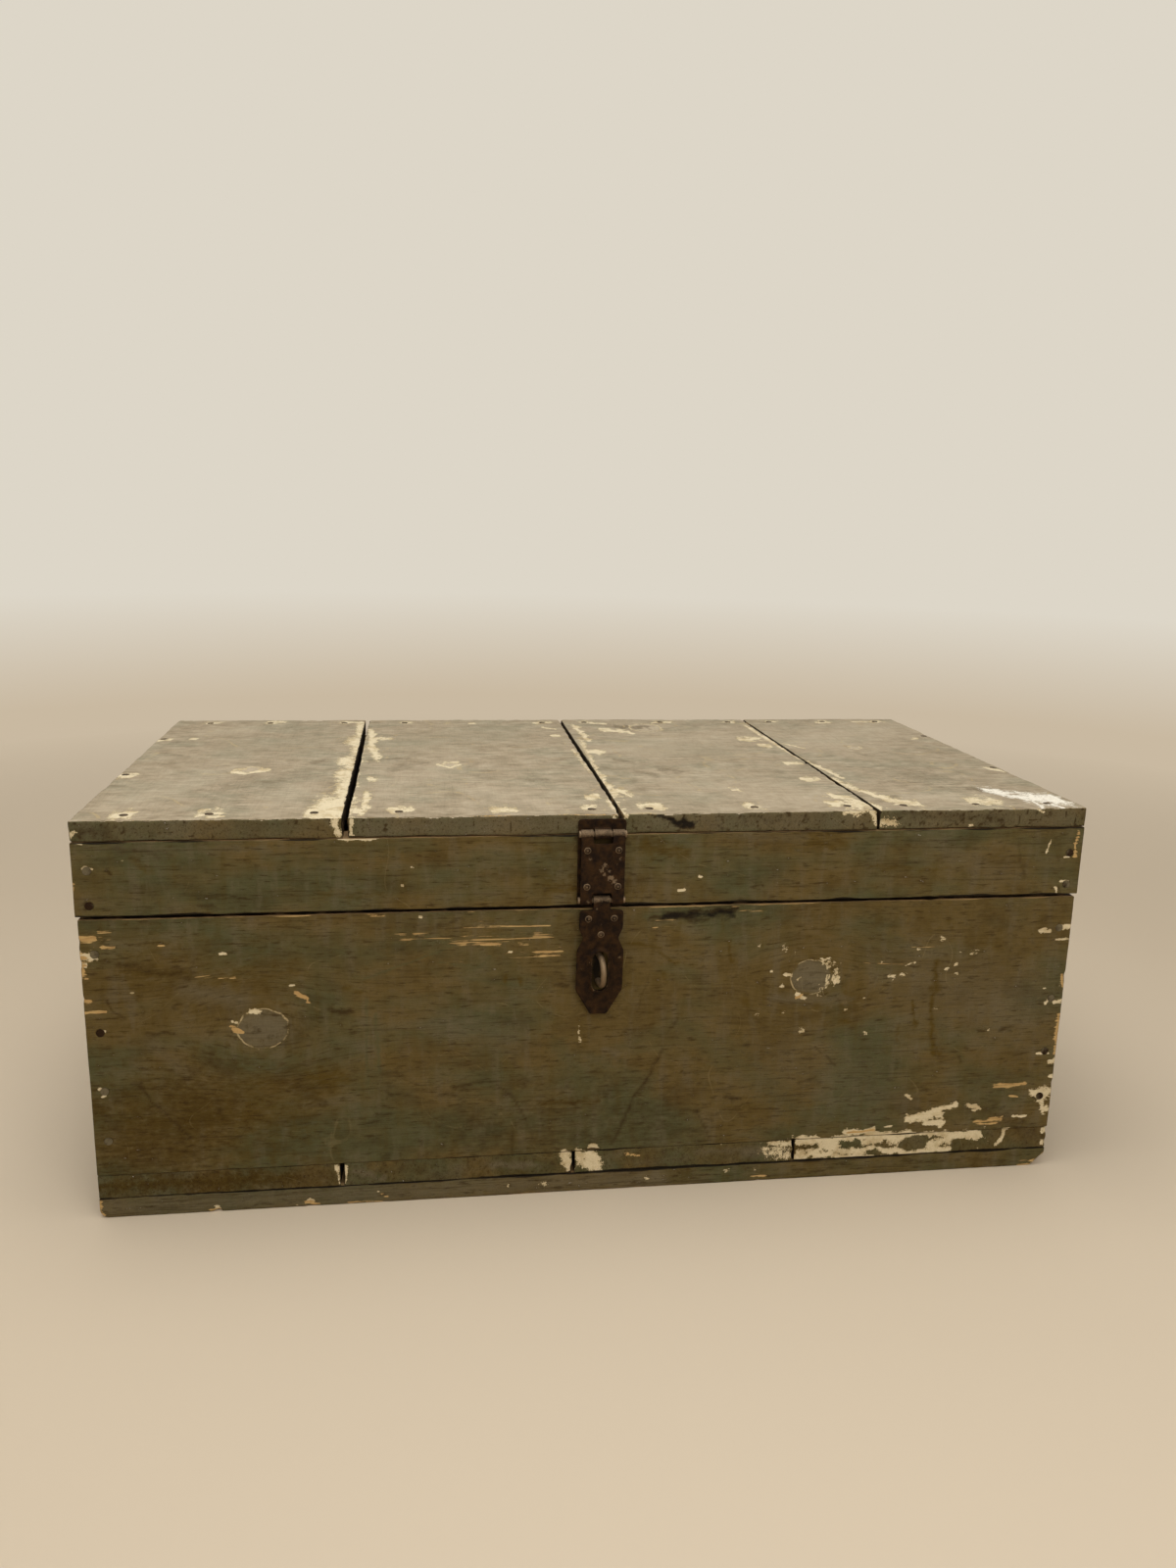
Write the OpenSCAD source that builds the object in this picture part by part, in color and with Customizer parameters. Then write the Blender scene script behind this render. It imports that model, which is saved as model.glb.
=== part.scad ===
// Painted plank trunk: a nailed box on two runners, a hinged lid with a rail all round,
// and an iron hasp that folds down over a staple.
// Millimetres. +X is the trunk's right, +Y its back and +Z up. The origin is on the floor,
// under the middle of the trunk with its staple and hinges.

/* [Box] */
// Length of the box, left to right
body_l = 950; // [760:10:1200]
// Depth of the box, front face to back face
body_d = 502; // [400:2:640]
// Height of the front, back and end boards
side_h = 253; // [190:1:360]
// Thickness of the front, back and end boards
wall_t = 24; // [20:0.5:30]
// Thickness of the bottom boards
bottom_t = 24; // [18:0.5:32]
// Height of the two runners under the bottom
runner_h = 20; // [16:0.5:40]
// Width of a runner, front to back
runner_w = 45; // [34:1:80]
// Widest gap between two bottom boards
bottom_gap = 3; // [1:0.1:5]
// How far the bottom boards and runners stand back from the box's faces
bottom_setback = 0.5; // [0:0.1:2]
// Size of the softened edges of every board
ease = 1.2; // [0.4:0.1:2]

/* [Lid] */
// How far the lid stands out past the front and the ends of the box
lid_overhang = 1.5; // [0.5:0.1:4]
// Height of the rails round the lid
rail_h = 69; // [60:1:110]
// Thickness of the rails round the lid
rail_t = 28; // [26:0.5:36]
// Thickness of the top boards
top_t = 20; // [15:0.5:30]
// Widest gap between two top boards
top_gap = 4; // [1.5:0.1:6]
// Gap under the front and back rails of the closed lid
seam = 3; // [2:0.1:6]
// Gap under the end rails, on which the lid comes down
seat_gap = 0.3; // [0.2:0.05:0.5]

/* [Nails] */
// Diameter of a nail's head
nail_head_d = 7.5; // [6:0.1:10]
// Thickness of a nail's head
nail_head_h = 1.5; // [1:0.1:2.5]
// Diameter of a nail's shank
nail_shank_d = 3.4; // [2.6:0.1:4]
// Depth of a nail's head below the wood's face
nail_set = 0.3; // [0.1:0.1:1]
// Length of a nail in the second board that it holds
nail_bite = 30; // [20:1:40]
// Wood left past a nail's point in the bottom boards
nail_cover = 5; // [3:0.5:8]
// Distance of the nails that hold the box's corners from its ends
corner_nail_inset = 12.5; // [11:0.5:14]
// Distance of the nails that hold the lid's corners from its ends
lid_nail_inset = 13; // [12:0.5:16]
// Distance of the front and back rows of top nails from the lid's faces
top_nail_inset = 20; // [19:0.5:21]
// Distance of the top nails along the ends from the lid's ends
end_nail_inset = 7; // [6:0.5:10]

/* [Back hinges] */
// Width of a hinge leaf, left to right
leaf_w = 76; // [60:1:100]
// Height of a hinge leaf from the hinge line
leaf_h = 32; // [28:1:40]
// Thickness of a hinge leaf
leaf_t = 2; // [1.5:0.1:2.5]
// Diameter of a hinge pin
hinge_pin_d = 5; // [4:0.1:6]
// Diameter of the screws' shanks, on hinges and hasp
screw_d = 4; // [3:0.1:4.5]
// Diameter of the screws' heads, on hinges and hasp
screw_head_d = 8; // [7.4:0.1:9]
// Length of the screws, on hinges and hasp
screw_l = 16; // [12:0.5:17]

/* [Hasp] */
// Place of the hasp's middle, from the middle of the trunk
hasp_x = -5; // [-40:1:40]
// Thickness of the hasp's sheet iron
hasp_t = 2; // [1.5:0.1:2.4]
// Diameter of the hasp's two pins
hasp_pin_d = 5; // [4:0.1:6]
// Width of the leaf that is fixed to the lid
fixed_leaf_w = 45; // [42:0.5:52]
// Width of the link between the two pins
link_w = 41; // [38:0.5:42]
// Width of the middle knuckles, which are tongues rolled round the pins
tongue_w = 16.6; // [14:0.1:18]
// Distance of the fixed leaf's top edge below the lid's top
fixed_leaf_drop = 4.5; // [3:0.5:8]
// Distance of the upper pin below the lid's top
upper_pin_drop = 17.5; // [16:0.5:22]
// Height of the lower pin above the lower edge of the lid
lower_pin_rise = 7.5; // [6:0.5:10]
// Depth of the notch under the upper middle knuckle, from the pin
upper_notch = 8.2; // [6.5:0.1:11]
// Length of the link's ends that are folded back behind it
link_lap = 20; // [18:0.5:21]
// Distance of the link's rivets from its pins
link_rivet_drop = 14.5; // [11:0.5:15.5]
// Diameter of a rivet's head
rivet_head_d = 6.4; // [5:0.1:7]
// Height of a rivet's head
rivet_head_h = 1.2; // [0.8:0.1:1.5]
// Diameter of a rivet's shank
rivet_d = 3.6; // [3:0.1:4.2]
// Length of the slotted plate, from the lower pin to its tip
plate_l = 115.5; // [105:0.5:130]
// Width of the slotted plate at its lower part
plate_w = 45; // [42:0.5:50]
// Width of the slot for the staple
slot_w = 14.8; // [13:0.1:17]
// Height of the slot for the staple
slot_h = 40; // [38.5:0.5:42]
// Width of the raised rim round the slot
rim_w = 5; // [3.5:0.1:6]
// Height of the raised rim round the slot
rim_h = 1.4; // [0.8:0.1:1.6]
// Angle at which the plate hangs back from upright
plate_lean = 3.5; // [1:0.1:4.5]
// How far the slotted plate lifts before its tongue meets the link's lower notch
plate_lift = 120; // [110:1:124]

/* [Staple] */
// Diameter of the staple's wire
wire_d = 6; // [5:0.1:6.6]
// Distance between the middles of the staple's legs
staple_span = 26; // [24:0.5:28]
// How far the staple stands out from the front board
staple_reach = 25; // [24:0.5:32]
// Length of the staple's legs in the front board
staple_depth = 18; // [14:0.5:19]
// Angle at which the staple is bent to the right
staple_lean = 5; // [0:0.5:8]

/* [Hidden] */

// Extra length of a cut past a face
over = 1;
// Room all round a nail, screw, rivet, pin or staple leg in its hole
fit_gap = 0.05;
// Room between knuckles, and round what swings past a leaf
swing_gap = 0.4;
// Room below a screw's or a pin's end in its hole
end_gap = 0.5;
$fn = 40;

// Joints between the boards, as shares of the length, and how wide each one is open
top_joint_shares = [0, 0.2492, 0.5136, 0.776, 1];
top_gap_shares = [1, 0.62, 0.38];
bottom_joint_shares = [0, 0.2374, 0.4737, 0.7113, 1];
bottom_gap_shares = [1, 0.67, 0.33];
// Nails, as shares of the height or width of the board that they go through
corner_nail_shares = [0.14, 0.34, 0.57, 0.87];
lid_nail_shares = [0.15, 0.62];
top_nail_shares = [[0.18, 0.49, 0.88], [0.19, 0.9], [0.12, 0.53, 0.9], [0.15, 0.5, 0.85]];
end_nail_shares = [0.37, 0.75];
bottom_nail_shares = [0.16, 0.84];
bottom_end_nail_shares = [0.25, 0.5, 0.75];
runner_nail_shares = [0.05, 0.3, 0.6, 0.94];
runner_nail_in_share = 0.7;
// Broken right ends of the runners, as shares of their height, along and up
front_break_shares = [0.8, 0.7];
back_break_shares = [0.25, 0.25];
// Heads and tails of pins and rivets, as shares of what they are on
pin_head_d_share = 1.3;
pin_head_h_share = 0.8;
rivet_tail_share = 0.8;
// Hinges, as shares of half the length from the middle
hinge_shares = [-0.62, 0.62];

// Heights, from the floor up
bottom_z = runner_h;
side_z = bottom_z + bottom_t;
side_top_z = side_z + side_h;
rail_z = side_top_z + seam;
end_rail_z = side_top_z + seat_gap;
top_z = rail_z + rail_h;
lid_top_z = top_z + top_t;

// Hinges: the barrel stands a little off the wood behind the trunk
hinge_barrel_r = hinge_pin_d / 2 + fit_gap + leaf_t;
hinge_axis_out = hinge_barrel_r + swing_gap;
hinge_axis_z = (side_top_z + rail_z) / 2;
knuckle_count = 5;
knuckle_l = (leaf_w - (knuckle_count - 1) * swing_gap) / knuckle_count;
pin_head_h = leaf_t * pin_head_h_share;
leaf_screw_x_shares = [-0.36, 0, 0.36];
leaf_screw_z_shares = [0.72, 0.5, 0.72];

// Places in depth, so that the origin is under the middle of everything
back_reach = hinge_axis_out + hinge_barrel_r;
front_y = (staple_reach - back_reach - body_d) / 2;
back_y = front_y + body_d;
lid_front_y = front_y - lid_overhang;
lid_d = body_d + lid_overhang;
lid_l = body_l + 2 * lid_overhang;
left_x = -body_l / 2;
lid_left_x = -lid_l / 2;

// Hasp: knuckles, pins and the sheets tangent to the front of the knuckles
hasp_barrel_r = hasp_pin_d / 2 + fit_gap + hasp_t;
hasp_axis_out = hasp_t + swing_gap + hasp_barrel_r;
upper_pin_z = lid_top_z - upper_pin_drop;
lower_pin_z = rail_z + lower_pin_rise;
link_l = upper_pin_z - lower_pin_z;
hasp_axis_y = lid_front_y - hasp_axis_out;
fixed_leaf_z = rail_z + seam;
fixed_leaf_h = lid_top_z - fixed_leaf_drop - fixed_leaf_z;
side_knuckle_l = (link_w - tongue_w) / 2 - swing_gap;
lower_notch = hasp_barrel_r * tan((plate_lift - plate_lean) / 2) + swing_gap;
lap_back = hasp_barrel_r - 2 * hasp_t;
hasp_screw_x_share = 0.3;
hasp_screw_z_shares = [0.2, 0.58];

// Slotted plate: shares of its length, from the lower pin down, and of its width
shoulder_share = 0.93;
waist_share = 0.74;
tip_share = 0.36;
shoulder_top_share = 0.074;
shoulder_end_share = 0.235;
waist_end_share = 0.32;
flare_share = 0.43;
lobe_end_share = 0.78;
plate_lap_share = 0.34;
plate_lap_w_share = 0.94;
plate_rivet_row_share = 0.145;
plate_rivet_low_share = 0.285;
plate_rivet_x_share = 0.27;
slot_place_share = 0.61;
slot_place = plate_l * slot_place_share;
corner_share = 1.6;
corner_r = hasp_t * corner_share;
window_share = 4;

// Staple: lined up with the slot
staple_z = lower_pin_z - slot_place * cos(plate_lean);
crown_r = staple_span / 2;
staple_straight = staple_reach - wire_d / 2 - crown_r;

paint = "#6b6046";
top_paint = "#8f866b";
bare_wood = "#a98a5c";
iron = "#3f2d1d";
worn_iron = "#6a5a49";

// A rectangle with its four corners cut
module soft_rectangle(w, h) {
    polygon([[ease, 0], [w - ease, 0], [w, ease], [w, h - ease],
        [w - ease, h], [ease, h], [0, h - ease], [0, ease]]);
}

// A board with softened edges, from its lowest left front corner
module board(l, d, h) {
    intersection() {
        linear_extrude(h) soft_rectangle(l, d);
        translate([0, d, 0]) rotate([90, 0, 0]) linear_extrude(d) soft_rectangle(l, h);
        rotate([90, 0, 90]) linear_extrude(l) soft_rectangle(d, h);
    }
}

// Nails point down, from a wood face at height 0. What follows is turned to the face.
module nail(l) {
    point_l = nail_shank_d;
    translate([0, 0, -nail_set - nail_head_h]) cylinder(h = nail_head_h, d = nail_head_d);
    translate([0, 0, -l + point_l]) cylinder(h = l - point_l - nail_set - nail_head_h, d = nail_shank_d);
    translate([0, 0, -l]) cylinder(h = point_l, d1 = nail_shank_d / 3, d2 = nail_shank_d);
}

module nail_hole(l) {
    translate([0, 0, -nail_set - nail_head_h])
        cylinder(h = nail_head_h + nail_set + over, d = nail_head_d + 2 * fit_gap);
    translate([0, 0, -l - fit_gap]) cylinder(h = l, d = nail_shank_d + 2 * fit_gap);
}

// Countersunk screw, pointing down from a sheet whose outer face is at height 0
module screw() {
    cone_h = (screw_head_d - screw_d) / 2;
    translate([0, 0, -fit_gap - cone_h]) cylinder(h = cone_h, d1 = screw_d, d2 = screw_head_d);
    translate([0, 0, -screw_l + screw_d]) cylinder(h = screw_l - screw_d - fit_gap - cone_h, d = screw_d);
    translate([0, 0, -screw_l]) cylinder(h = screw_d, d1 = screw_d / 4, d2 = screw_d);
}

module screw_hole() {
    cone_h = (screw_head_d - screw_d) / 2;
    hole_d = screw_d + 2 * fit_gap;
    mouth_d = screw_head_d + 2 * fit_gap;
    translate([0, 0, -fit_gap - cone_h]) cylinder(h = cone_h, d1 = hole_d, d2 = mouth_d);
    translate([0, 0, -fit_gap]) cylinder(h = over + fit_gap, d = mouth_d);
    translate([0, 0, -screw_l - end_gap]) cylinder(h = screw_l + end_gap, d = hole_d);
}

// Places of the nails and screws

module corner_nail_places() {
    for (x = [-1, 1], share = corner_nail_shares) {
        translate([x * (body_l / 2 - corner_nail_inset), front_y, side_z + share * side_h])
            rotate([90, 0, 0]) children();
        translate([x * (body_l / 2 - corner_nail_inset), back_y, side_z + share * side_h])
            rotate([-90, 0, 0]) children();
    }
}

function bottom_x(i) = left_x + body_l * bottom_joint_shares[i];
function bottom_w(i) = bottom_x(i + 1) - bottom_x(i);

module bottom_nail_places() {
    for (i = [0:3], share = bottom_nail_shares, y = [front_y + wall_t / 2, back_y - wall_t / 2])
        translate([bottom_x(i) + share * bottom_w(i), y, bottom_z]) rotate([180, 0, 0]) children();
    for (x = [-1, 1], share = bottom_end_nail_shares)
        translate([x * (body_l - wall_t) / 2, front_y + share * body_d, bottom_z])
            rotate([180, 0, 0]) children();
}

module runner_nail_places() {
    y_in = runner_w * runner_nail_in_share;
    for (share = runner_nail_shares, y = [front_y + y_in, back_y - y_in])
        translate([left_x + share * body_l, y, 0]) rotate([180, 0, 0]) children();
}

function top_x(i) = lid_left_x + lid_l * top_joint_shares[i];
function top_w(i) = top_x(i + 1) - top_x(i);

module top_nail_places() {
    for (i = [0:3], share = top_nail_shares[i], y = [lid_front_y + top_nail_inset, back_y - top_nail_inset])
        translate([top_x(i) + share * top_w(i), y, lid_top_z]) children();
    for (x = [-1, 1], share = end_nail_shares)
        translate([x * (lid_l / 2 - end_nail_inset), lid_front_y + share * lid_d, lid_top_z]) children();
}

module lid_nail_places() {
    for (x = [-1, 1], share = lid_nail_shares) {
        translate([x * (lid_l / 2 - lid_nail_inset), lid_front_y, rail_z + share * rail_h])
            rotate([90, 0, 0]) children();
        translate([x * (lid_l / 2 - lid_nail_inset), back_y, rail_z + share * rail_h])
            rotate([-90, 0, 0]) children();
    }
}

// side is 1 for the lid's leaves and -1 for the box's
module hinge_screw_places(side) {
    for (place = hinge_shares, i = [0:2])
        translate([place * body_l / 2 + leaf_screw_x_shares[i] * leaf_w, back_y + leaf_t,
            hinge_axis_z + side * leaf_screw_z_shares[i] * leaf_h]) rotate([-90, 0, 0]) children();
}

module hasp_screw_places() {
    for (x = [-1, 1], share = hasp_screw_z_shares)
        translate([hasp_x + x * hasp_screw_x_share * fixed_leaf_w, lid_front_y - hasp_t,
            fixed_leaf_z + share * fixed_leaf_h]) rotate([90, 0, 0]) children();
}

corner_nail_l = wall_t + nail_bite;
bottom_nail_l = bottom_t + nail_bite;
runner_nail_l = runner_h + bottom_t - nail_cover;
top_nail_l = top_t + nail_bite;
lid_nail_l = rail_t + nail_bite;

// Box

module wall_between(y) {
    difference() {
        translate([left_x, y, side_z]) board(body_l, wall_t, side_h);
        corner_nail_places() nail_hole(corner_nail_l);
        bottom_nail_places() nail_hole(bottom_nail_l);
    }
}

module front_board() {
    color(paint) difference() {
        wall_between(front_y);
        at_staple() staple_legs(wire_d + 2 * fit_gap, staple_depth + end_gap);
    }
}

module back_board() {
    color(paint) difference() {
        wall_between(back_y - wall_t);
        hinge_screw_places(-1) screw_hole();
    }
}

module end_board(x) {
    color(paint) difference() {
        translate([x, front_y + wall_t, side_z]) board(wall_t, body_d - 2 * wall_t, side_h);
        corner_nail_places() nail_hole(corner_nail_l);
        bottom_nail_places() nail_hole(bottom_nail_l);
    }
}

module left_end_board() end_board(left_x);
module right_end_board() end_board(-left_x - wall_t);

module bottom_board(i) {
    left = i == 0 ? 0 : bottom_gap * bottom_gap_shares[i - 1] / 2;
    right = i == 3 ? 0 : bottom_gap * bottom_gap_shares[i] / 2;
    color(paint) difference() {
        translate([bottom_x(i) + left, front_y + bottom_setback, bottom_z])
            board(bottom_w(i) - left - right, body_d - 2 * bottom_setback, bottom_t);
        bottom_nail_places() nail_hole(bottom_nail_l);
        runner_nail_places() nail_hole(runner_nail_l);
    }
}

module bottom_board_1() bottom_board(0);
module bottom_board_2() bottom_board(1);
module bottom_board_3() bottom_board(2);
module bottom_board_4() bottom_board(3);

// A runner seen from the front, with a rounded left foot and the right foot broken off
module runner_outline(round_r, broken_l, broken_h) {
    steps = 6;
    polygon(concat(
        [for (i = [0:steps]) round_r * [1 - cos(90 * i / steps), 1 - sin(90 * i / steps)]],
        [[body_l - broken_l, 0], [body_l, broken_h], [body_l, runner_h - ease],
            [body_l - ease, runner_h], [ease, runner_h], [0, runner_h - ease]]));
}

module runner(y, break_shares) {
    color(bare_wood) difference() {
        translate([left_x, y + runner_w, 0]) rotate([90, 0, 0]) linear_extrude(runner_w)
            runner_outline(runner_h / 2, runner_h * break_shares.x, runner_h * break_shares.y);
        runner_nail_places() nail_hole(runner_nail_l);
    }
}

module front_runner() runner(front_y + bottom_setback, front_break_shares);
module back_runner() runner(back_y - bottom_setback - runner_w, back_break_shares);

module corner_nails() color(worn_iron) corner_nail_places() nail(corner_nail_l);
module bottom_nails() color(worn_iron) bottom_nail_places() nail(bottom_nail_l);
module runner_nails() color(worn_iron) runner_nail_places() nail(runner_nail_l);

// Staple: two legs one above the other and a half ring, bent a little to the right

module at_staple() {
    translate([hasp_x, front_y, staple_z]) rotate([0, 0, staple_lean]) children();
}

module staple_legs(d, depth) {
    for (z = [-1, 1]) translate([0, depth, z * staple_span / 2]) rotate([90, 0, 0])
        cylinder(h = depth + staple_straight, d = d);
}

module staple() {
    color(worn_iron) at_staple() union() {
        staple_legs(wire_d, staple_depth);
        translate([0, -staple_straight, 0]) rotate([0, 90, 0]) rotate([0, 0, 180])
            rotate_extrude(angle = 180) translate([crown_r, 0]) circle(d = wire_d);
    }
}

// Back hinges: a leaf is a flat sheet, its knuckles are rolled from its edge

module hinge_cut(from, to) {
    room = hinge_barrel_r + swing_gap;
    translate([from, -hinge_axis_out - over, -room]) cube([to - from, hinge_axis_out + over, 2 * room]);
}

function knuckle_x(i) = -leaf_w / 2 + i * (knuckle_l + swing_gap);

// owned lists the knuckles that the leaf has, and side is 1 above the hinge line and -1 below
module hinge_leaf(place, side, owned) {
    color(iron) difference() {
        translate([place * body_l / 2, back_y + hinge_axis_out, hinge_axis_z]) difference() {
            union() {
                difference() {
                    translate([-leaf_w / 2, -hinge_axis_out, side > 0 ? 0 : -leaf_h])
                        cube([leaf_w, leaf_t, leaf_h]);
                    for (i = [0:knuckle_count - 1]) if (len(search(i, owned)) == 0)
                        hinge_cut(knuckle_x(i) - (i == 0 ? over : swing_gap),
                            knuckle_x(i) + knuckle_l + (i == knuckle_count - 1 ? over : swing_gap));
                }
                for (i = owned) translate([knuckle_x(i), 0, 0]) rotate([0, 90, 0])
                    cylinder(h = knuckle_l, r = hinge_barrel_r);
            }
            rotate([0, 90, 0]) translate([0, 0, -leaf_w / 2 - over])
                cylinder(h = leaf_w + 2 * over, d = hinge_pin_d + 2 * fit_gap);
        }
        hinge_screw_places(side) screw_hole();
    }
}

module left_hinge_body_leaf() hinge_leaf(hinge_shares[0], -1, [0, 2, 4]);
module right_hinge_body_leaf() hinge_leaf(hinge_shares[1], -1, [0, 2, 4]);
module left_hinge_lid_leaf() hinge_leaf(hinge_shares[0], 1, [1, 3]);
module right_hinge_lid_leaf() hinge_leaf(hinge_shares[1], 1, [1, 3]);

// A pin with a head at both ends of a barrel of length l
module headed_pin(d, l) {
    head_h = pin_head_h;
    rotate([0, 90, 0]) {
        translate([0, 0, -l / 2 - head_h - fit_gap]) cylinder(h = l + 2 * (head_h + fit_gap), d = d);
        for (z = [-l / 2 - head_h - fit_gap, l / 2 + fit_gap])
            translate([0, 0, z]) cylinder(h = head_h, d = d * pin_head_d_share);
    }
}

module hinge_pin(place) {
    color(worn_iron) translate([place * body_l / 2, back_y + hinge_axis_out, hinge_axis_z])
        headed_pin(hinge_pin_d, leaf_w);
}

module left_hinge_pin() hinge_pin(hinge_shares[0]);
module right_hinge_pin() hinge_pin(hinge_shares[1]);
module hinge_body_screws() color(worn_iron) hinge_screw_places(-1) screw();
module hinge_lid_screws() color(worn_iron) hinge_screw_places(1) screw();

// Lid

module top_board(i) {
    left = i == 0 ? 0 : top_gap * top_gap_shares[i - 1] / 2;
    right = i == 3 ? 0 : top_gap * top_gap_shares[i] / 2;
    color(top_paint) difference() {
        translate([top_x(i) + left, lid_front_y, top_z]) board(top_w(i) - left - right, lid_d, top_t);
        top_nail_places() nail_hole(top_nail_l);
    }
}

module top_board_1() top_board(0);
module top_board_2() top_board(1);
module top_board_3() top_board(2);
module top_board_4() top_board(3);

module long_rail(y) {
    difference() {
        translate([lid_left_x, y, rail_z]) board(lid_l, rail_t, rail_h);
        lid_nail_places() nail_hole(lid_nail_l);
        top_nail_places() nail_hole(top_nail_l);
    }
}

module lid_front_rail() {
    color(paint) difference() {
        long_rail(lid_front_y);
        hasp_screw_places() screw_hole();
    }
}

module lid_back_rail() {
    color(paint) difference() {
        long_rail(back_y - rail_t);
        hinge_screw_places(1) screw_hole();
    }
}

module end_rail(x) {
    color(paint) difference() {
        translate([x, lid_front_y + rail_t, end_rail_z])
            board(rail_t, lid_d - 2 * rail_t, top_z - end_rail_z);
        lid_nail_places() nail_hole(lid_nail_l);
        top_nail_places() nail_hole(top_nail_l);
    }
}

module lid_left_rail() end_rail(lid_left_x);
module lid_right_rail() end_rail(-lid_left_x - rail_t);

module lid_corner_nails() color(worn_iron) lid_nail_places() nail(lid_nail_l);
module top_nails() color(worn_iron) top_nail_places() nail(top_nail_l);

// Hasp. Its pieces are drawn round a pin's middle, with the outside towards -Y.

module at_upper_pin() translate([hasp_x, hasp_axis_y, upper_pin_z]) children();
module at_lower_pin() translate([hasp_x, hasp_axis_y, lower_pin_z]) children();
module at_plate() at_lower_pin() rotate([plate_lean, 0, 0]) children();

module barrel(x, l) translate([x, 0, 0]) rotate([0, 90, 0]) cylinder(h = l, r = hasp_barrel_r);
module pin_hole() translate([-fixed_leaf_w, 0, 0]) rotate([0, 90, 0])
    cylinder(h = 2 * fixed_leaf_w, d = hasp_pin_d + 2 * fit_gap);

// A sheet with its outline seen from the front, y up, from depth to depth + t outwards
module sheet(depth, t) translate([0, -depth, 0]) rotate([90, 0, 0]) linear_extrude(t) children();

// An outline with an arc of its own radius at each corner
function unit(v) = v / norm(v);
function corner_arc(before, at, after, r, steps) =
    let (a = unit(before - at), b = unit(after - at), half = acos(a * b) / 2,
        middle = at + unit(a + b) * r / sin(half),
        from = at + a * r / tan(half) - middle, to = at + b * r / tan(half) - middle,
        start = atan2(from.y, from.x),
        turn = (atan2(to.y, to.x) - start + 540) % 360 - 180)
    [for (i = [0:steps]) middle + r * [cos(start + turn * i / steps), sin(start + turn * i / steps)]];
function rounded(points, radii, steps = 5) =
    let (n = len(points))
    [for (i = [0:n - 1]) each radii[i] == 0 ? [points[i]] :
        corner_arc(points[(i + n - 1) % n], points[i], points[(i + 1) % n], radii[i], steps)];

module round_rectangle(w, h, r) {
    polygon(rounded([[-w / 2, 0], [w / 2, 0], [w / 2, h], [-w / 2, h]], [r, r, r, r]));
}

module hasp_fixed_leaf() {
    top = upper_pin_drop - fixed_leaf_drop;
    window_l = hasp_barrel_r * window_share;
    color(iron) difference() {
        at_upper_pin() difference() {
            union() {
                translate([0, 0, top - fixed_leaf_h]) sheet(-hasp_axis_out, hasp_t) difference() {
                    round_rectangle(fixed_leaf_w, fixed_leaf_h, corner_r);
                    translate([-tongue_w / 2 - swing_gap, fixed_leaf_h - top + hasp_barrel_r - hasp_t - window_l])
                        square([tongue_w + 2 * swing_gap, window_l]);
                }
                barrel(-tongue_w / 2, tongue_w);
                translate([-tongue_w / 2, 0, hasp_barrel_r - hasp_t])
                    cube([tongue_w, hasp_axis_out, hasp_t]);
            }
            pin_hole();
        }
        hasp_screw_places() screw_hole();
    }
}

module hasp_screws() color(worn_iron) hasp_screw_places() screw();
module hasp_upper_pin() color(worn_iron) at_upper_pin() headed_pin(hasp_pin_d, link_w);
module hasp_lower_pin() color(worn_iron) at_lower_pin() headed_pin(hasp_pin_d, link_w);

// Rivets lie along Y, with a domed head outside and a flat one inside
module rivet(grip) {
    ball_r = (rivet_head_h * rivet_head_h + rivet_head_d * rivet_head_d / 4) / (2 * rivet_head_h);
    tail_h = rivet_head_h / 2;
    rotate([90, 0, 0]) {
        translate([0, 0, -grip - fit_gap - tail_h / 2])
            cylinder(h = grip + 2 * fit_gap + tail_h, d = rivet_d);
        translate([0, 0, fit_gap]) intersection() {
            translate([0, 0, rivet_head_h - ball_r]) sphere(ball_r);
            cylinder(h = rivet_head_h, d = rivet_head_d);
        }
        translate([0, 0, -grip - fit_gap - tail_h]) cylinder(h = tail_h, d = rivet_head_d * rivet_tail_share);
    }
}

module rivet_hole() {
    rotate([90, 0, 0]) translate([0, 0, -2 * hasp_t - over])
        cylinder(h = 2 * hasp_t + 2 * over, d = rivet_d + 2 * fit_gap);
}

module link_rivet_places() {
    for (x = [-1, 1], z = [link_rivet_drop, link_l - link_rivet_drop])
        translate([x * (link_w - side_knuckle_l) / 2, -hasp_barrel_r, -z]) children();
}

module hasp_link() {
    side_x = tongue_w / 2 + swing_gap;
    color(iron) at_upper_pin() difference() {
        union() {
            translate([0, 0, -link_l]) sheet(hasp_barrel_r - hasp_t, hasp_t) difference() {
                translate([-link_w / 2, 0]) square([link_w, link_l]);
                translate([-side_x, link_l - upper_notch]) square([2 * side_x, upper_notch + over]);
                translate([-side_x, -over]) square([2 * side_x, lower_notch + over]);
            }
            for (x = [-link_w / 2, side_x]) {
                for (z = [0, -link_l]) translate([0, 0, z]) barrel(x, side_knuckle_l);
                for (z = [-link_lap, -link_l])
                    translate([0, 0, z]) sheet(lap_back, hasp_t)
                        translate([x, 0]) square([side_knuckle_l, link_lap]);
            }
        }
        for (z = [0, -link_l]) translate([0, 0, z]) pin_hole();
        link_rivet_places() rivet_hole();
    }
}

module link_rivets() color(worn_iron) at_upper_pin() link_rivet_places() rivet(2 * hasp_t);

// Half of the slotted plate's outline, from the lower pin down its right side
plate_half = [
    [tongue_w / 2, 0],
    [tongue_w / 2, -shoulder_top_share * plate_l],
    [shoulder_share * plate_w / 2, -shoulder_top_share * plate_l],
    [shoulder_share * plate_w / 2, -shoulder_end_share * plate_l],
    [waist_share * plate_w / 2, -waist_end_share * plate_l],
    [plate_w / 2, -flare_share * plate_l],
    [plate_w / 2, -lobe_end_share * plate_l],
    [tip_share * plate_w / 2, -plate_l]];
plate_half_radii = corner_r * [0, 0, 1, 2, 1.5, 2, 2, 1];

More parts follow.
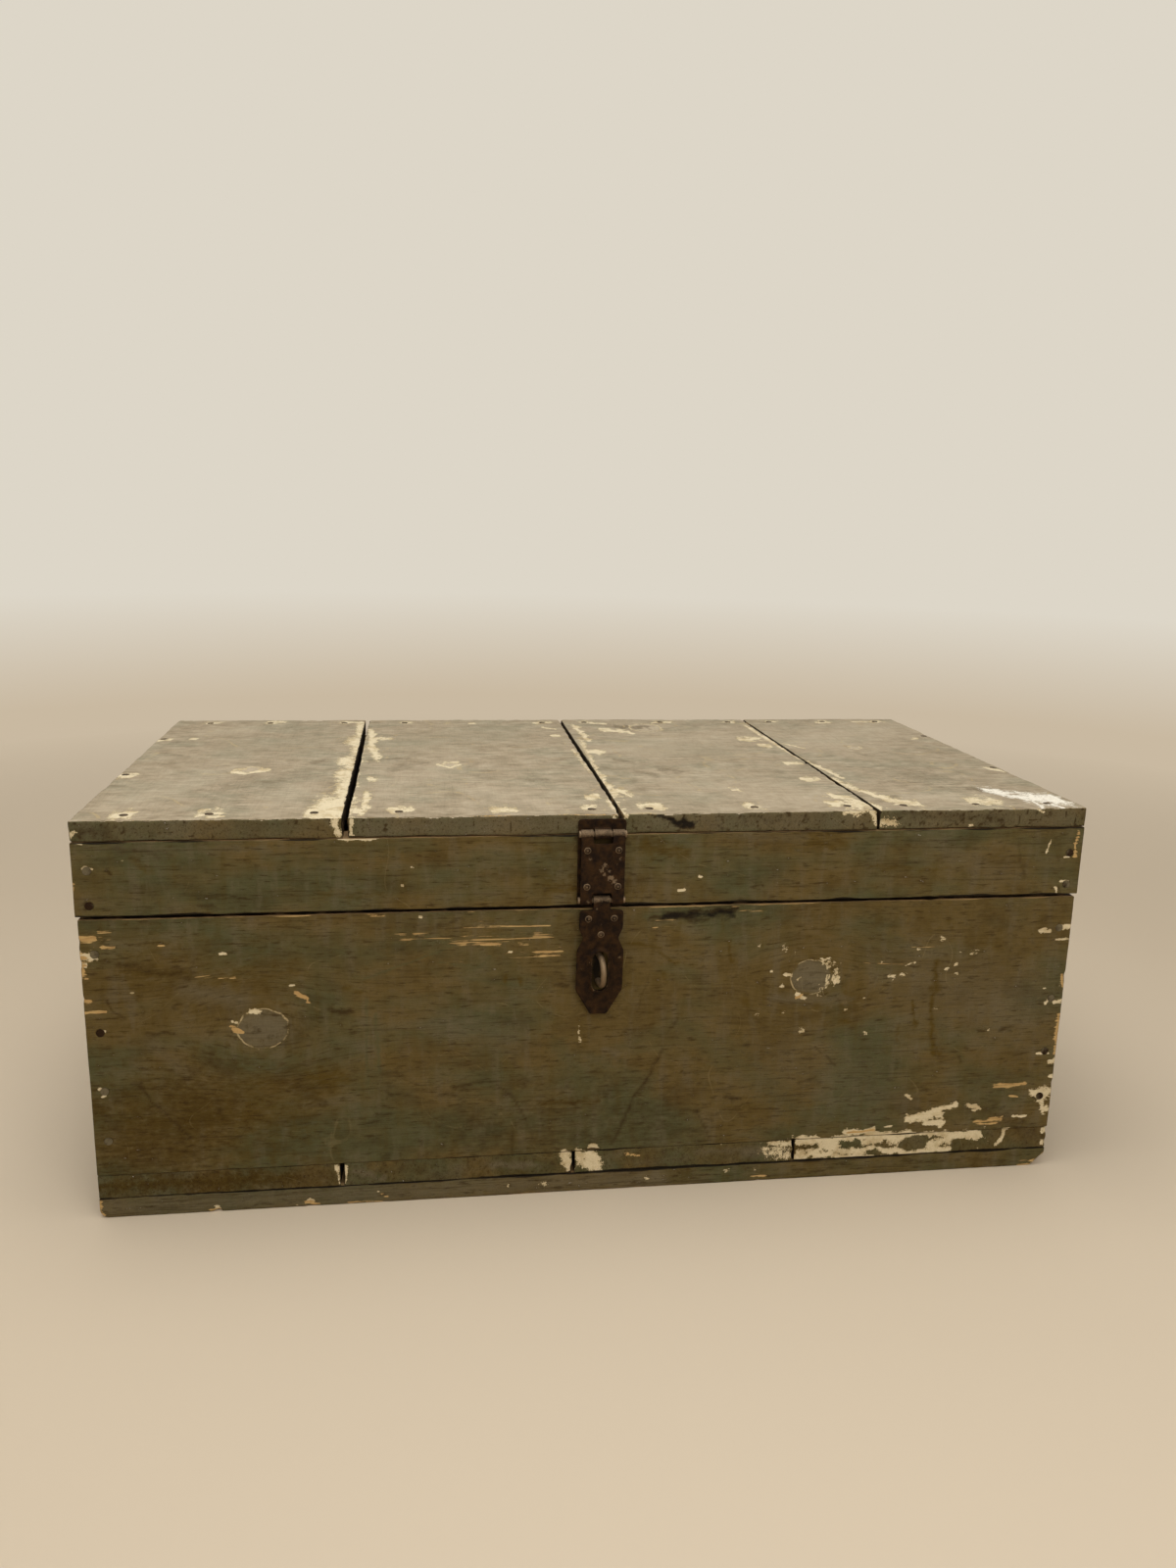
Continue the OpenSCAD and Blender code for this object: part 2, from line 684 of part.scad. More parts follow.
module plate_outline() {
    last = len(plate_half) - 1;
    polygon(rounded(
        concat(plate_half, [for (i = [last:-1:0]) [-plate_half[i].x, plate_half[i].y]]),
        concat(plate_half_radii, [for (i = [last:-1:0]) plate_half_radii[i]])));
}

// The folded end of the tongue, riveted behind the plate
module plate_lap() {
    w = plate_w * waist_share * plate_lap_w_share;
    h = plate_lap_share * plate_l;
    polygon([[-tongue_w / 2, 0], [-tongue_w / 2, -shoulder_top_share * plate_l],
        [-w / 2, -shoulder_top_share * plate_l - hasp_t], [-w / 2, -plate_rivet_low_share * plate_l + hasp_t],
        [-tongue_w / 2, -h], [tongue_w / 2, -h],
        [w / 2, -plate_rivet_low_share * plate_l + hasp_t], [w / 2, -shoulder_top_share * plate_l - hasp_t],
        [tongue_w / 2, -shoulder_top_share * plate_l], [tongue_w / 2, 0]]);
}

module plate_rivet_places() {
    for (p = [[-plate_rivet_x_share * plate_w, plate_rivet_row_share],
            [plate_rivet_x_share * plate_w, plate_rivet_row_share], [0, plate_rivet_low_share]])
        translate([p.x, -hasp_barrel_r, -p.y * plate_l]) children();
}

// The raised rim: a sloping band round the slot, from two half turns and two straight lengths
module slot_rim() {
    straight = slot_h - slot_w;
    band = [[slot_w / 2 - fit_gap, -hasp_t / 2], [slot_w / 2 + rim_w, -hasp_t / 2],
        [slot_w / 2 + rim_w, 0], [slot_w / 2 + rim_w / 2, rim_h], [slot_w / 2 - fit_gap, rim_h]];
    for (side = [0, 1]) rotate([0, 0, 180 * side]) {
        translate([0, straight / 2, 0]) rotate_extrude(angle = 180) polygon(band);
        translate([0, straight / 2, 0]) rotate([90, 0, 0]) linear_extrude(straight) polygon(band);
    }
}

module slot_cut() {
    straight = slot_h - slot_w;
    reach = 2 * (hasp_t + rim_h) + over;
    for (z = [-1, 1]) translate([0, z * straight / 2, -reach]) cylinder(h = 2 * reach, d = slot_w);
    translate([-slot_w / 2, -straight / 2, -reach]) cube([slot_w, straight, 2 * reach]);
}

module hasp_plate() {
    color(iron) at_plate() difference() {
        union() {
            sheet(hasp_barrel_r - hasp_t, hasp_t) plate_outline();
            sheet(lap_back, hasp_t) plate_lap();
            barrel(-tongue_w / 2, tongue_w);
            translate([0, -hasp_barrel_r, -slot_place]) rotate([90, 0, 0]) slot_rim();
        }
        pin_hole();
        translate([0, -hasp_barrel_r, -slot_place]) rotate([90, 0, 0]) slot_cut();
        plate_rivet_places() rivet_hole();
    }
}

module plate_rivets() color(worn_iron) at_plate() plate_rivet_places() rivet(2 * hasp_t);

front_board();
back_board();
left_end_board();
right_end_board();
bottom_board_1();
bottom_board_2();
bottom_board_3();
bottom_board_4();
front_runner();
back_runner();
corner_nails();
bottom_nails();
runner_nails();
staple();
left_hinge_body_leaf();
right_hinge_body_leaf();
left_hinge_pin();
right_hinge_pin();
hinge_body_screws();
top_board_1();
top_board_2();
top_board_3();
top_board_4();
lid_front_rail();
lid_back_rail();
lid_left_rail();
lid_right_rail();
lid_corner_nails();
top_nails();
left_hinge_lid_leaf();
right_hinge_lid_leaf();
hinge_lid_screws();
hasp_fixed_leaf();
hasp_screws();
hasp_upper_pin();
hasp_link();
link_rivets();
hasp_lower_pin();
hasp_plate();
plate_rivets();
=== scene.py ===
"""Old painted plank trunk with an iron hasp: weathered boards, paint and ironwork built
round the trunk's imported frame. Run as a script."""

import math
from functools import partial

import bpy
import numpy as np
from mathutils import Matrix, Vector


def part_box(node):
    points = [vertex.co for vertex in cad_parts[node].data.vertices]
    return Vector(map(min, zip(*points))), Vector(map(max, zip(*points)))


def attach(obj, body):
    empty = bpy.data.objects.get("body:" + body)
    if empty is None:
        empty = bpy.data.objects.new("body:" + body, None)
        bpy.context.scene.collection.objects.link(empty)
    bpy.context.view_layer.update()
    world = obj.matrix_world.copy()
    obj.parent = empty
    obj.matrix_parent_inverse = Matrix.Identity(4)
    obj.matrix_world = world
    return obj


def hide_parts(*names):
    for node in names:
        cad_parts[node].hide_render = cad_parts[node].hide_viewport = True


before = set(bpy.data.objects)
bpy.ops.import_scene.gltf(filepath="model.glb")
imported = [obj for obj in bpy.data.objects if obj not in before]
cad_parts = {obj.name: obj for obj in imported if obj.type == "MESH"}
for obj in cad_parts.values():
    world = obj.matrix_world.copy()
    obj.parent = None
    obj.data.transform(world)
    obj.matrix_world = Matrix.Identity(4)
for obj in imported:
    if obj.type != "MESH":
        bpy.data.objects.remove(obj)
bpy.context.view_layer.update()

bl_info = {
    "name": "Painted plank trunk",
    "version": (1, 0, 0),
    "blender": (4, 5, 0),
    "location": "View3D > Sidebar > Trunk",
    "description": "Weathered boards, worn paint and rusted ironwork on the trunk's frame",
    "category": "Object",
}

MM = 0.001
AXES = "xyz"
# Kinds of mark that a board's mesh carries for its material. The last is near-black
# soiling, and painted shade in gaps, seams and inner corners
KINDS = ("chip", "bare", "scrape", "ochre", "dark", "green", "pale", "white", "knot", "grime")
# Nail holes, the step down through both coats, and mesh lines on a board's hidden side, in mm
PIT_RADIUS, PIT_DEPTH = 4.25, 1.15
COAT = 0.22
EDGE_CELL = 3.5
# Mesh lines this far from an edge, the same on a board's thin side, and round a nail, in mm
RIM, THIN_RIM = (0, 0.4, 0.9, 1.6, 2.5, 3.8), (0, 0.5, 1.2, 2.4)
NAIL_LINES = (-5, -4.3, -3.7, -3.1, -1.6, 0, 1.6, 3.1, 3.7, 4.3, 5)
# Old oil paint and rust hardly shine
DULL_SPECULAR = 0.12


def linear(code):
    """The linear colour, with an alpha of 1, of an sRGB hex value."""
    parts = [int(code[i:i + 2], 16) / 255 for i in (1, 3, 5)]
    return tuple(p / 12.92 if p <= 0.04045 else ((p + 0.055) / 1.055) ** 2.4
                 for p in parts) + (1,)


def length_prop(name, description, size_mm, low=0.0, high=100.0):
    """A length, given in millimetres and kept in metres."""
    return bpy.props.FloatProperty(
        name=name, description=description, default=size_mm * MM,
        min=low * MM, max=high * MM, subtype="DISTANCE", unit="LENGTH", precision=5)


def colour_prop(name, description, code):
    """A colour, given in sRGB hex and kept linear."""
    return bpy.props.FloatVectorProperty(
        name=name, description=description, default=linear(code), size=4,
        subtype="COLOR", min=0, max=1)


class TrunkWood(bpy.types.PropertyGroup):
    cell: length_prop("Cell", "Spacing of the mesh lines on a board's seen face", 2.2, 1, 20)
    fine_cell: length_prop("Fine cell", "Spacing where small marks lie close", 1.4, 0.8, 20)
    coarse_cell: length_prop("Coarse cell", "Spacing on boards seen from behind", 3.0, 1, 20)
    arris: length_prop("Arris", "Radius of a board's worn edge", 1.1, 0.2, 3)
    waviness: length_prop("Waviness", "Depth of the plane's hollows on a face", 0.35, 0, 1)
    ring_width: length_prop("Ring width", "Spacing of the pine's growth rings", 3.6, 1, 12)
    fibre_width: length_prop("Fibre width", "Width of the face's raised fibres", 0.8, 0.2, 4)
    early: colour_prop("Early wood", "Pale wood between the rings", "#B99360")
    late: colour_prop("Late wood", "Darker line of each ring", "#8F6639")
    aged: colour_prop("Aged wood", "Grey brown of old unpainted faces", "#80694A")
    split: colour_prop("Split wood", "Tan wood where both coats are gone", "#BC9C66")


class TrunkPaint(bpy.types.PropertyGroup):
    front_brown: colour_prop("Front brown", "Top coat on the box and the rails", "#5F4F2C")
    front_green: colour_prop("Front green", "Greener parts of that coat", "#4E4C30")
    front_dark: colour_prop("Front dark", "Grimy parts of that coat", "#33240B")
    front_haze: colour_prop("Front haze", "Chalky parts of that coat", "#655B45")
    ochre: colour_prop("Ochre", "Old varnish runs and rubbed-through brown", "#4C3A08")
    # The lid's coats are lighter than the front's: partly scuffing and dust, partly painted light
    # from above
    top_brown: colour_prop("Top brown", "Scuffed top coat on the lid", "#9C8D74")
    top_green: colour_prop("Top green", "Greener parts of the lid's coat", "#918870")
    top_dark: colour_prop("Top dark", "Grimy parts of the lid's coat", "#70634D")
    top_haze: colour_prop("Top haze", "Chalky parts of the lid's coat", "#B4A58C")
    undercoat: colour_prop("Undercoat", "Cream paint under the front's top coat", "#D0C09D")
    top_undercoat: colour_prop("Top undercoat", "Cream under the lid's top coat", "#D3C4A3")
    spilt: colour_prop("Spilt white", "White paint spilt on the lid's corner", "#E8E1D0")
    chip_size: length_prop("Chip size", "Size of the notches in a chip's edge", 5.0, 1, 30)


class TrunkIron(bpy.types.PropertyGroup):
    voxel: length_prop("Voxel", "Mesh size of the forged pieces", 0.5, 0.3, 2)
    pit: length_prop("Pit", "Depth of the rust pits", 0.2, 0, 0.5)
    rust_dark: colour_prop("Dark rust", "Old dark crust", "#170B03")
    rust_light: colour_prop("Light rust", "Brown rust on the high places", "#33200B")
    # Also the colour of the painted highlights and glints on the hasp
    worn: colour_prop("Worn iron", "Iron rubbed bare on knuckles and rims", "#7C6850")


class TrunkStage(bpy.types.PropertyGroup):
    floor: colour_prop("Floor", "Plain pale floor", "#C9B9A1")
    wall: colour_prop("Wall", "Plain pale wall round it", "#DDD6C8")
    radius: length_prop("Radius", "Distance of the wall from the middle", 3200, 1500, 6000)
    height: length_prop("Height", "Height of the wall", 3400, 1000, 6000)
    key: bpy.props.FloatProperty(
        name="Key", description="Overhead softbox", default=30, min=0, unit="POWER")
    fill: bpy.props.FloatProperty(
        name="Fill", description="Softbox beside the camera", default=16, min=0, unit="POWER")
    sky: bpy.props.FloatProperty(
        name="Sky", description="Strength of the even light from above", default=0.6, min=0)


# Noise and marks for the meshes, all in millimetres

def noise(points, size, seed, octaves=3):
    """Smooth noise from about -1 to 1 at points, of features that big."""
    q = np.asarray(points, float) / size + seed * 17.31
    total, weight = np.zeros(len(q)), 1.0
    for octave in range(octaves):
        cell = np.floor(q).astype(np.int64)
        f = q - cell
        f = f * f * (3 - 2 * f)
        for corner in np.ndindex(2, 2, 2):
            x, y, z = (cell + corner).T
            h = x * 73856093 ^ y * 19349663 ^ z * 83492791 ^ (seed * 7919 + octave)
            h = (h ^ (h >> 13)) * 1274126177 & 0xFFFFFFFF
            h = (h ^ (h >> 15)) * 2246822519 & 0xFFFFFFFF
            share = np.prod(np.where(corner, f, 1 - f), axis=1)
            total += weight * share * (((h >> 12) & 0xFFFF) / 32767.5 - 1)
        q, weight = q * 2.03, weight * 0.5
    return total


def strokes(u, v, rows, warp, tall=1.0):
    """Height of marks on a face: a mark's strength on its line, 0 at its edge, less outside.
    A row is the line's start, its run in both directions, half its width and its strength,
    1 if left out. warp shifts each point, and tall makes marks taller than they are wide."""
    height = np.full(len(u), -1.0)
    v = v / tall
    for u0, v0, du, dv, half, *strength in rows:
        v0, dv = v0 / tall, dv / tall
        reach = 2.5 * half
        near = np.flatnonzero(
            (u > min(u0, u0 + du) - reach) & (u < max(u0, u0 + du) + reach)
            & (v > min(v0, v0 + dv) - reach) & (v < max(v0, v0 + dv) + reach))
        if not len(near):
            continue
        shift = min(0.7 * half, 3.2) * warp[:, near]
        a, b = u[near] - u0 + shift[0], v[near] - v0 + shift[1]
        t = np.clip((a * du + b * dv) / max(du * du + dv * dv, 1e-9), 0, 1)
        away = np.hypot(a - t * du, b - t * dv) * (1 + 0.4 * warp[0, near])
        height[near] = np.maximum(height[near], (strength or [1])[0] * (1 - away / half))
    return height


def ring(u, v, radius, half, strength, first=0, last=360, squash=1.0):
    """Short strokes round part of a circle, such as the paint's lip round a knot."""
    angles = np.radians(np.arange(first, last + 1, 30))
    places = [(u + radius * math.cos(a), v + squash * radius * math.sin(a)) for a in angles]
    return [(*a, b[0] - a[0], b[1] - a[1], half, strength) for a, b in zip(places, places[1:])]


def scatter(seed, box, kinds):
    """Random marks for a face that the photograph doesn't show. box is u0, u1, v0, v1, and
    kinds gives each kind's count, length, half width and strength."""
    rng = np.random.default_rng(seed)
    out = {}
    for kind, (count, length, half, strength) in kinds.items():
        rows = out.setdefault(kind, [])
        for _ in range(count):
            u, v = rng.uniform(*box[:2]), rng.uniform(*box[2:])
            turn = rng.normal(0, 0.5)
            reach = length * rng.uniform(0.2, 1)
            rows.append((u, v, reach * math.cos(turn), reach * math.sin(turn),
                         half * rng.uniform(0.5, 1.4), strength * rng.uniform(0.6, 1)))
    return out


# Boards

def grid_lines(low, high, step, zones=(), places=(), thin=False):
    """Mesh lines from low to high: close at both edges, round nails and in the zones, which
    are rows of a start, an end and a spacing."""
    rim = np.array(THIN_RIM if thin else RIM)
    rim = rim[rim < (high - low) * 0.4]
    a, b = low + rim[-1], high - rim[-1]
    stops = sorted({a, b, *(s for zone in zones for s in zone[:2] if a < s < b)})
    lines = [low + rim, high - rim]
    for start, end in zip(stops, stops[1:]):
        middle = (start + end) / 2
        fine = min([zone[2] for zone in zones if zone[0] <= middle <= zone[1]] + [step])
        lines.append(np.linspace(start, end, max(2, int(round((end - start) / fine)) + 1)))
    for place in places:
        lines.append(place + np.array(NAIL_LINES))
    lines = np.unique(np.round(np.concatenate(lines), 3))
    lines = lines[(lines >= low - 0.001) & (lines <= high + 0.001)]
    keep = np.concatenate([[True], np.diff(lines) > 0.3])
    keep[-1] = True
    lines = lines[keep]
    if len(lines) > 2 and lines[-1] - lines[-2] < 0.2:
        lines = np.delete(lines, -2)
    return lines


def shell(lines, coarse):
    """Points and outward faces of a box on its mesh lines, and each point's line numbers.
    coarse names sides, such as +y, whose inner lines are thinned to every nth."""
    shape = tuple(len(l) for l in lines)
    faces, index = [], np.arange(np.prod(shape)).reshape(shape)
    for axis in range(3):
        for end in (0, -1):
            s = np.take(index, end, axis)
            turn = -1 if (end == -1) == (axis == 1) else 1
            step = coarse.get(("-" if end == 0 else "+") + AXES[axis])
            if step is None:
                q = np.stack([s[:-1, :-1], s[1:, :-1], s[1:, 1:], s[:-1, 1:]], -1).reshape(-1, 4)
                faces += list(q[:, ::turn])
                continue
            m, n = s.shape[0] - 1, s.shape[1] - 1
            rows, cols = ([*range(0, k - step // 2, step), k] for k in (m, n))
            for i0, i1 in zip(rows, rows[1:]):
                for j0, j1 in zip(cols, cols[1:]):
                    walk = [s[i, j0] for i in (range(i0, i1) if j0 == 0 else (i0,))]
                    walk += [s[i1, j] for j in (range(j0, j1) if i1 == m else (j0,))]
                    walk += [s[i, j1] for i in (range(i1, i0, -1) if j1 == n else (i1,))]
                    walk += [s[i0, j] for j in (range(j1, j0, -1) if i0 == 0 else (j1,))]
                    faces.append(np.array(walk[::turn]))
    kept, corners = np.unique(np.concatenate(faces), return_inverse=True)
    where = np.stack(np.unravel_index(kept, shape), 1)
    points = np.stack([lines[a][where[:, a]] for a in range(3)], 1)
    return points, corners.ravel(), np.array([len(f) for f in faces]), where


def mesh_from(name, points_mm, corners, counts):
    """A smooth mesh of faces, given as one row of corners and each face's count of them."""
    mesh = bpy.data.meshes.new(name)
    mesh.vertices.add(len(points_mm))
    mesh.vertices.foreach_set("co", (points_mm * MM).astype(np.float32).ravel())
    mesh.loops.add(len(corners))
    mesh.loops.foreach_set("vertex_index", corners.astype(np.int32))
    mesh.polygons.add(len(counts))
    starts = np.cumsum(counts) - counts
    mesh.polygons.foreach_set("loop_start", starts.astype(np.int32))
    mesh.polygons.foreach_set("loop_total", counts.astype(np.int32))
    mesh.polygons.foreach_set("use_smooth", np.ones(len(counts), bool))
    mesh.update(calc_edges=True)
    if mesh.validate():
        raise RuntimeError(name + " has faces that aren't sound")
    return mesh


def put(name, mesh, body, material, node):
    """Puts a finished mesh in the scene on its body, in place of its CAD node."""
    piece = bpy.data.objects.new(name, mesh)
    bpy.context.scene.collection.objects.link(piece)
    mesh.materials.clear()
    mesh.materials.append(material)
    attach(piece, body)
    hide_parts(node)


class Board:
    """One board: a box with worn edges, and what its marks do to its wood and its paint.
    All its sizes are in millimetres. coarse and zones thin and thicken its mesh, pith is
    where the tree's middle lies from its face, and arris how many times the usual one."""

    def __init__(self, node, grain, seed, cells, coarse, pith=(60, 110), pits=(), zones=None,
                 arris=1.0):
        self.pine = bpy.context.scene.trunk_wood
        self.node, self.seed, self.grain = node, seed, AXES.index(grain)
        self.arris = arris * self.pine.arris / MM
        self.low, self.high = (np.array(corner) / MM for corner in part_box(node))
        size = self.high - self.low
        lines = [grid_lines(self.low[a], self.high[a], cells[a], (zones or {}).get(AXES[a], ()),
                            sorted({round(p[a], 2) for p in pits if p[a] is not None}),
                            a == np.argmin(size)) for a in range(3)]
        self.rest, self.corners, self.counts, self.where = shell(lines, coarse)
        self.ends = [len(l) - 1 for l in lines]
        self.warp = np.stack([self.noise(7, 7 + k, 2) for k in (0, 500)])
        self.radius = self.arris * (1 + 0.45 * self.noise(40, 0, 1) + 0.3 * self.noise(7, 1, 1))
        self.depth = np.zeros(len(self.rest))
        self.marks = {kind: np.full(len(self.rest), -1.0) for kind in KINDS}
        self.marks["paint"] = np.zeros(len(self.rest))
        # Wood's own places: along the grain, and across it from the tree's middle
        thin, self.flat = sorted({0, 1, 2} - {self.grain}, key=lambda a: size[a])
        middle = (self.low[self.flat] + self.high[self.flat]) / 2
        self.wood = np.stack([self.rest[:, self.grain], self.rest[:, self.flat] - middle - pith[0],
                              self.rest[:, thin] - self.low[thin] + pith[1]], 1)
        for *place, side in pits:
            # Nail holes, which leave the nails' heads showing a little below the face
            away = np.sqrt(sum((self.rest[:, a] - p) ** 2 for a, p in enumerate(place)
                               if p is not None))
            self.depth += PIT_DEPTH * np.clip((PIT_RADIUS - away) / 0.7, 0, 1) * self.side(side)

    def noise(self, size, seed, octaves, stretch=1.0):
        """Noise at the board's points, its own on each board."""
        return noise(self.rest * stretch, size, self.seed + seed, octaves)

    def raise_mark(self, kind, height, on=slice(None)):
        """Lays a mark over those of its kind: the higher one shows."""
        self.marks[kind][on] = np.maximum(self.marks[kind][on], height)

    def side(self, code):
        """Which points are on a side such as +z or -y."""
        axis = AXES.index(code[1])
        return self.where[:, axis] == (0 if code[0] == "-" else self.ends[axis])

    def from_edge(self, edge):
        """Distance from an edge, given as its two sides, such as -y+z."""
        return np.sqrt(sum(
            (self.rest[:, a] - (self.low if sign == "-" else self.high)[a]) ** 2
            for sign, a in zip(edge[::2], map(AXES.index, edge[1::2]))))

    def knots(self, *rows):
        """Grain that flows round a knot, and the groove round it: along, across and radius."""
        for along, across, radius in rows:
            du = self.rest[:, self.grain] - along
            dv = self.rest[:, self.flat] - across
            near = np.exp(-(du / (radius * 3.2)) ** 2 - (dv / (radius * 2.2)) ** 2)
            self.wood[:, 1] -= dv * near * 0.75
            away = np.hypot(du / 1.15, dv) * (1 + 0.06 * self.warp[0])
            self.raise_mark("knot", 1 - away / radius)
            self.depth += 0.35 * np.clip(1.3 - np.abs(away - radius), 0, 1)

    def wear(self, breaks):
        """Broken edges. A break is a place along its edge, half its length and its size."""
        ragged = 0.9 + 0.75 * self.noise(13, 21, 2)
        for edge, rows in breaks.items():
            along = self.rest[:, 3 - AXES.index(edge[1]) - AXES.index(edge[3])]
            away = self.from_edge(edge)
            for place, half, size in rows:
                hump = np.clip(1 - ((along - place) / half) ** 2, 0, 1) ** 0.6
                self.radius = np.maximum(
                    self.radius, size * hump * ragged * np.clip(3 - away / size, 0, 1))

    def rub(self, *rows):
        """Paint rubbed off along edges in a broken line, or darkening in the joints and corners
        there, which is soiling and painted shade. A row is the kind, about its width, its share
        from -1, hardly anywhere, to 1, all along, and the edges."""
        drift = self.noise(34, 11, 3)
        for kind, width, share, edges in rows:
            for edge in edges.split():
                self.raise_mark(kind, share + drift - self.from_edge(edge) / width)

    def mark(self, side, *tables, tall=1.0):
        """Marks on one side, in the two axes along it."""
        on = np.flatnonzero(self.side(side))
        u, v = (self.rest[on, a] for a in range(3) if AXES[a] != side[1])
        for table in tables:
            for kind, rows in table.items():
                self.raise_mark(kind, strokes(u, v, rows, self.warp[:, on], tall), on)

    def between(self, sides, start, depth):
        """Darkens the faces of a gap from a place along y inwards: soiling, and painted
        shade inside the gap.
        """
        fade = 1.1 - np.abs(self.rest[:, 1] - start) / depth + 0.7 * self.noise(16, 41, 3)
        for side in sides:
            on = self.side(side)
            self.raise_mark("grime", fade[on], on)

    def end_grain(self, side):
        """Pits in the sawn end grain."""
        pit = np.clip(self.noise(3.4, 31, 2) - 0.4, 0, 0.5) * self.side(side)
        self.depth += 0.8 * pit
        self.raise_mark("dark", np.where(pit > 0, 2.2 * pit, -1))

    def paint(self, codes):
        """Says which sides have paint, such as -y-x+x."""
        for i in range(0, len(codes), 2):
            self.marks["paint"][self.side(codes[i:i + 2])] = 1

    def points(self):
        """The worn surface: rounded edges, then hollows and pits cut inwards."""
        centre, half = (self.low + self.high) / 2, (self.high - self.low) / 2
        r = np.clip(self.radius, 0.25, np.min(half) * 0.95)[:, None]
        inner = np.clip(self.rest - centre, -(half - r), half - r)
        out = self.rest - centre - inner
        out /= np.linalg.norm(out, axis=1)[:, None]
        along = np.where(np.arange(3) == self.grain, 0.12, 1.0)
        hollow = self.pine.waviness / MM * (
            0.5 + 0.35 * self.noise(90, 2, 2) + 0.15 * self.noise(3.2, 3, 2, along))
        ragged = np.clip(r[:, 0] - 2, 0, 3) * 0.28 * (1 + self.noise(2.2, 4, 1, along))
        bared = np.maximum(self.marks["chip"], self.marks["bare"])
        cut = np.clip(hollow, 0, None) + self.depth + ragged + COAT * np.clip(3 * bared, 0, 1)
        return centre + inner + out * (r - cut[:, None])

    def finish(self, body, material="brushed_oil_paint_on_pine", shape=None):
        """Puts the board in the scene. shape may move its finished points."""
        name, points = self.node + "_worn", self.points()
        mesh = mesh_from(name, shape(points) if shape else points, self.corners, self.counts)
        self.raise_mark("chip", np.clip((self.radius - max(2.8, 2 * self.arris)) / 1.6, -1, 0.5))
        for kind, values in self.marks.items():
            layer = mesh.attributes.new(kind, "FLOAT", "POINT")
            layer.data.foreach_set("value", values.astype(np.float32))
        layer = mesh.attributes.new("wood", "FLOAT_VECTOR", "POINT")
        layer.data.foreach_set("vector", self.wood.astype(np.float32).ravel())
        put(name, mesh, body, material_for(material), self.node)
        return mesh


# Materials

def add_node(tree, kind, *inputs, out=0, **settings):
    """Adds a shader node with its settings, and gives one of its outputs. Its inputs come in
    their order, or in one dict by their names or numbers."""
    node = tree.nodes.new("ShaderNode" + kind)
    for key, value in settings.items():
        setattr(node, key, value)
    named = inputs[0] if inputs and isinstance(inputs[0], dict) else dict(enumerate(inputs))
    for key, value in named.items():
        if isinstance(value, bpy.types.NodeSocket):
            tree.links.new(value, node.inputs[key])
        else:
            node.inputs[key].default_value = value
    return node.outputs[out] if node.outputs else None


def new_material(name):
    """A material without nodes, and the call that adds one to it."""
    material = bpy.data.materials.new(name)
    material.use_nodes = True
    material.node_tree.nodes.clear()
    return material, partial(add_node, material.node_tree)


def surface(add, colour, rough, height, deep_mm, strength, **more):
    """Ends a material with its shader and relief."""
    normal = add("Bump", {"Height": height, "Distance": deep_mm * MM, "Strength": strength})
    shader = add("BsdfPrincipled", {"Base Color": colour, "Roughness": rough, "Normal": normal,
                                    "Specular IOR Level": DULL_SPECULAR, **more})
    add("OutputMaterial", {"Surface": shader})


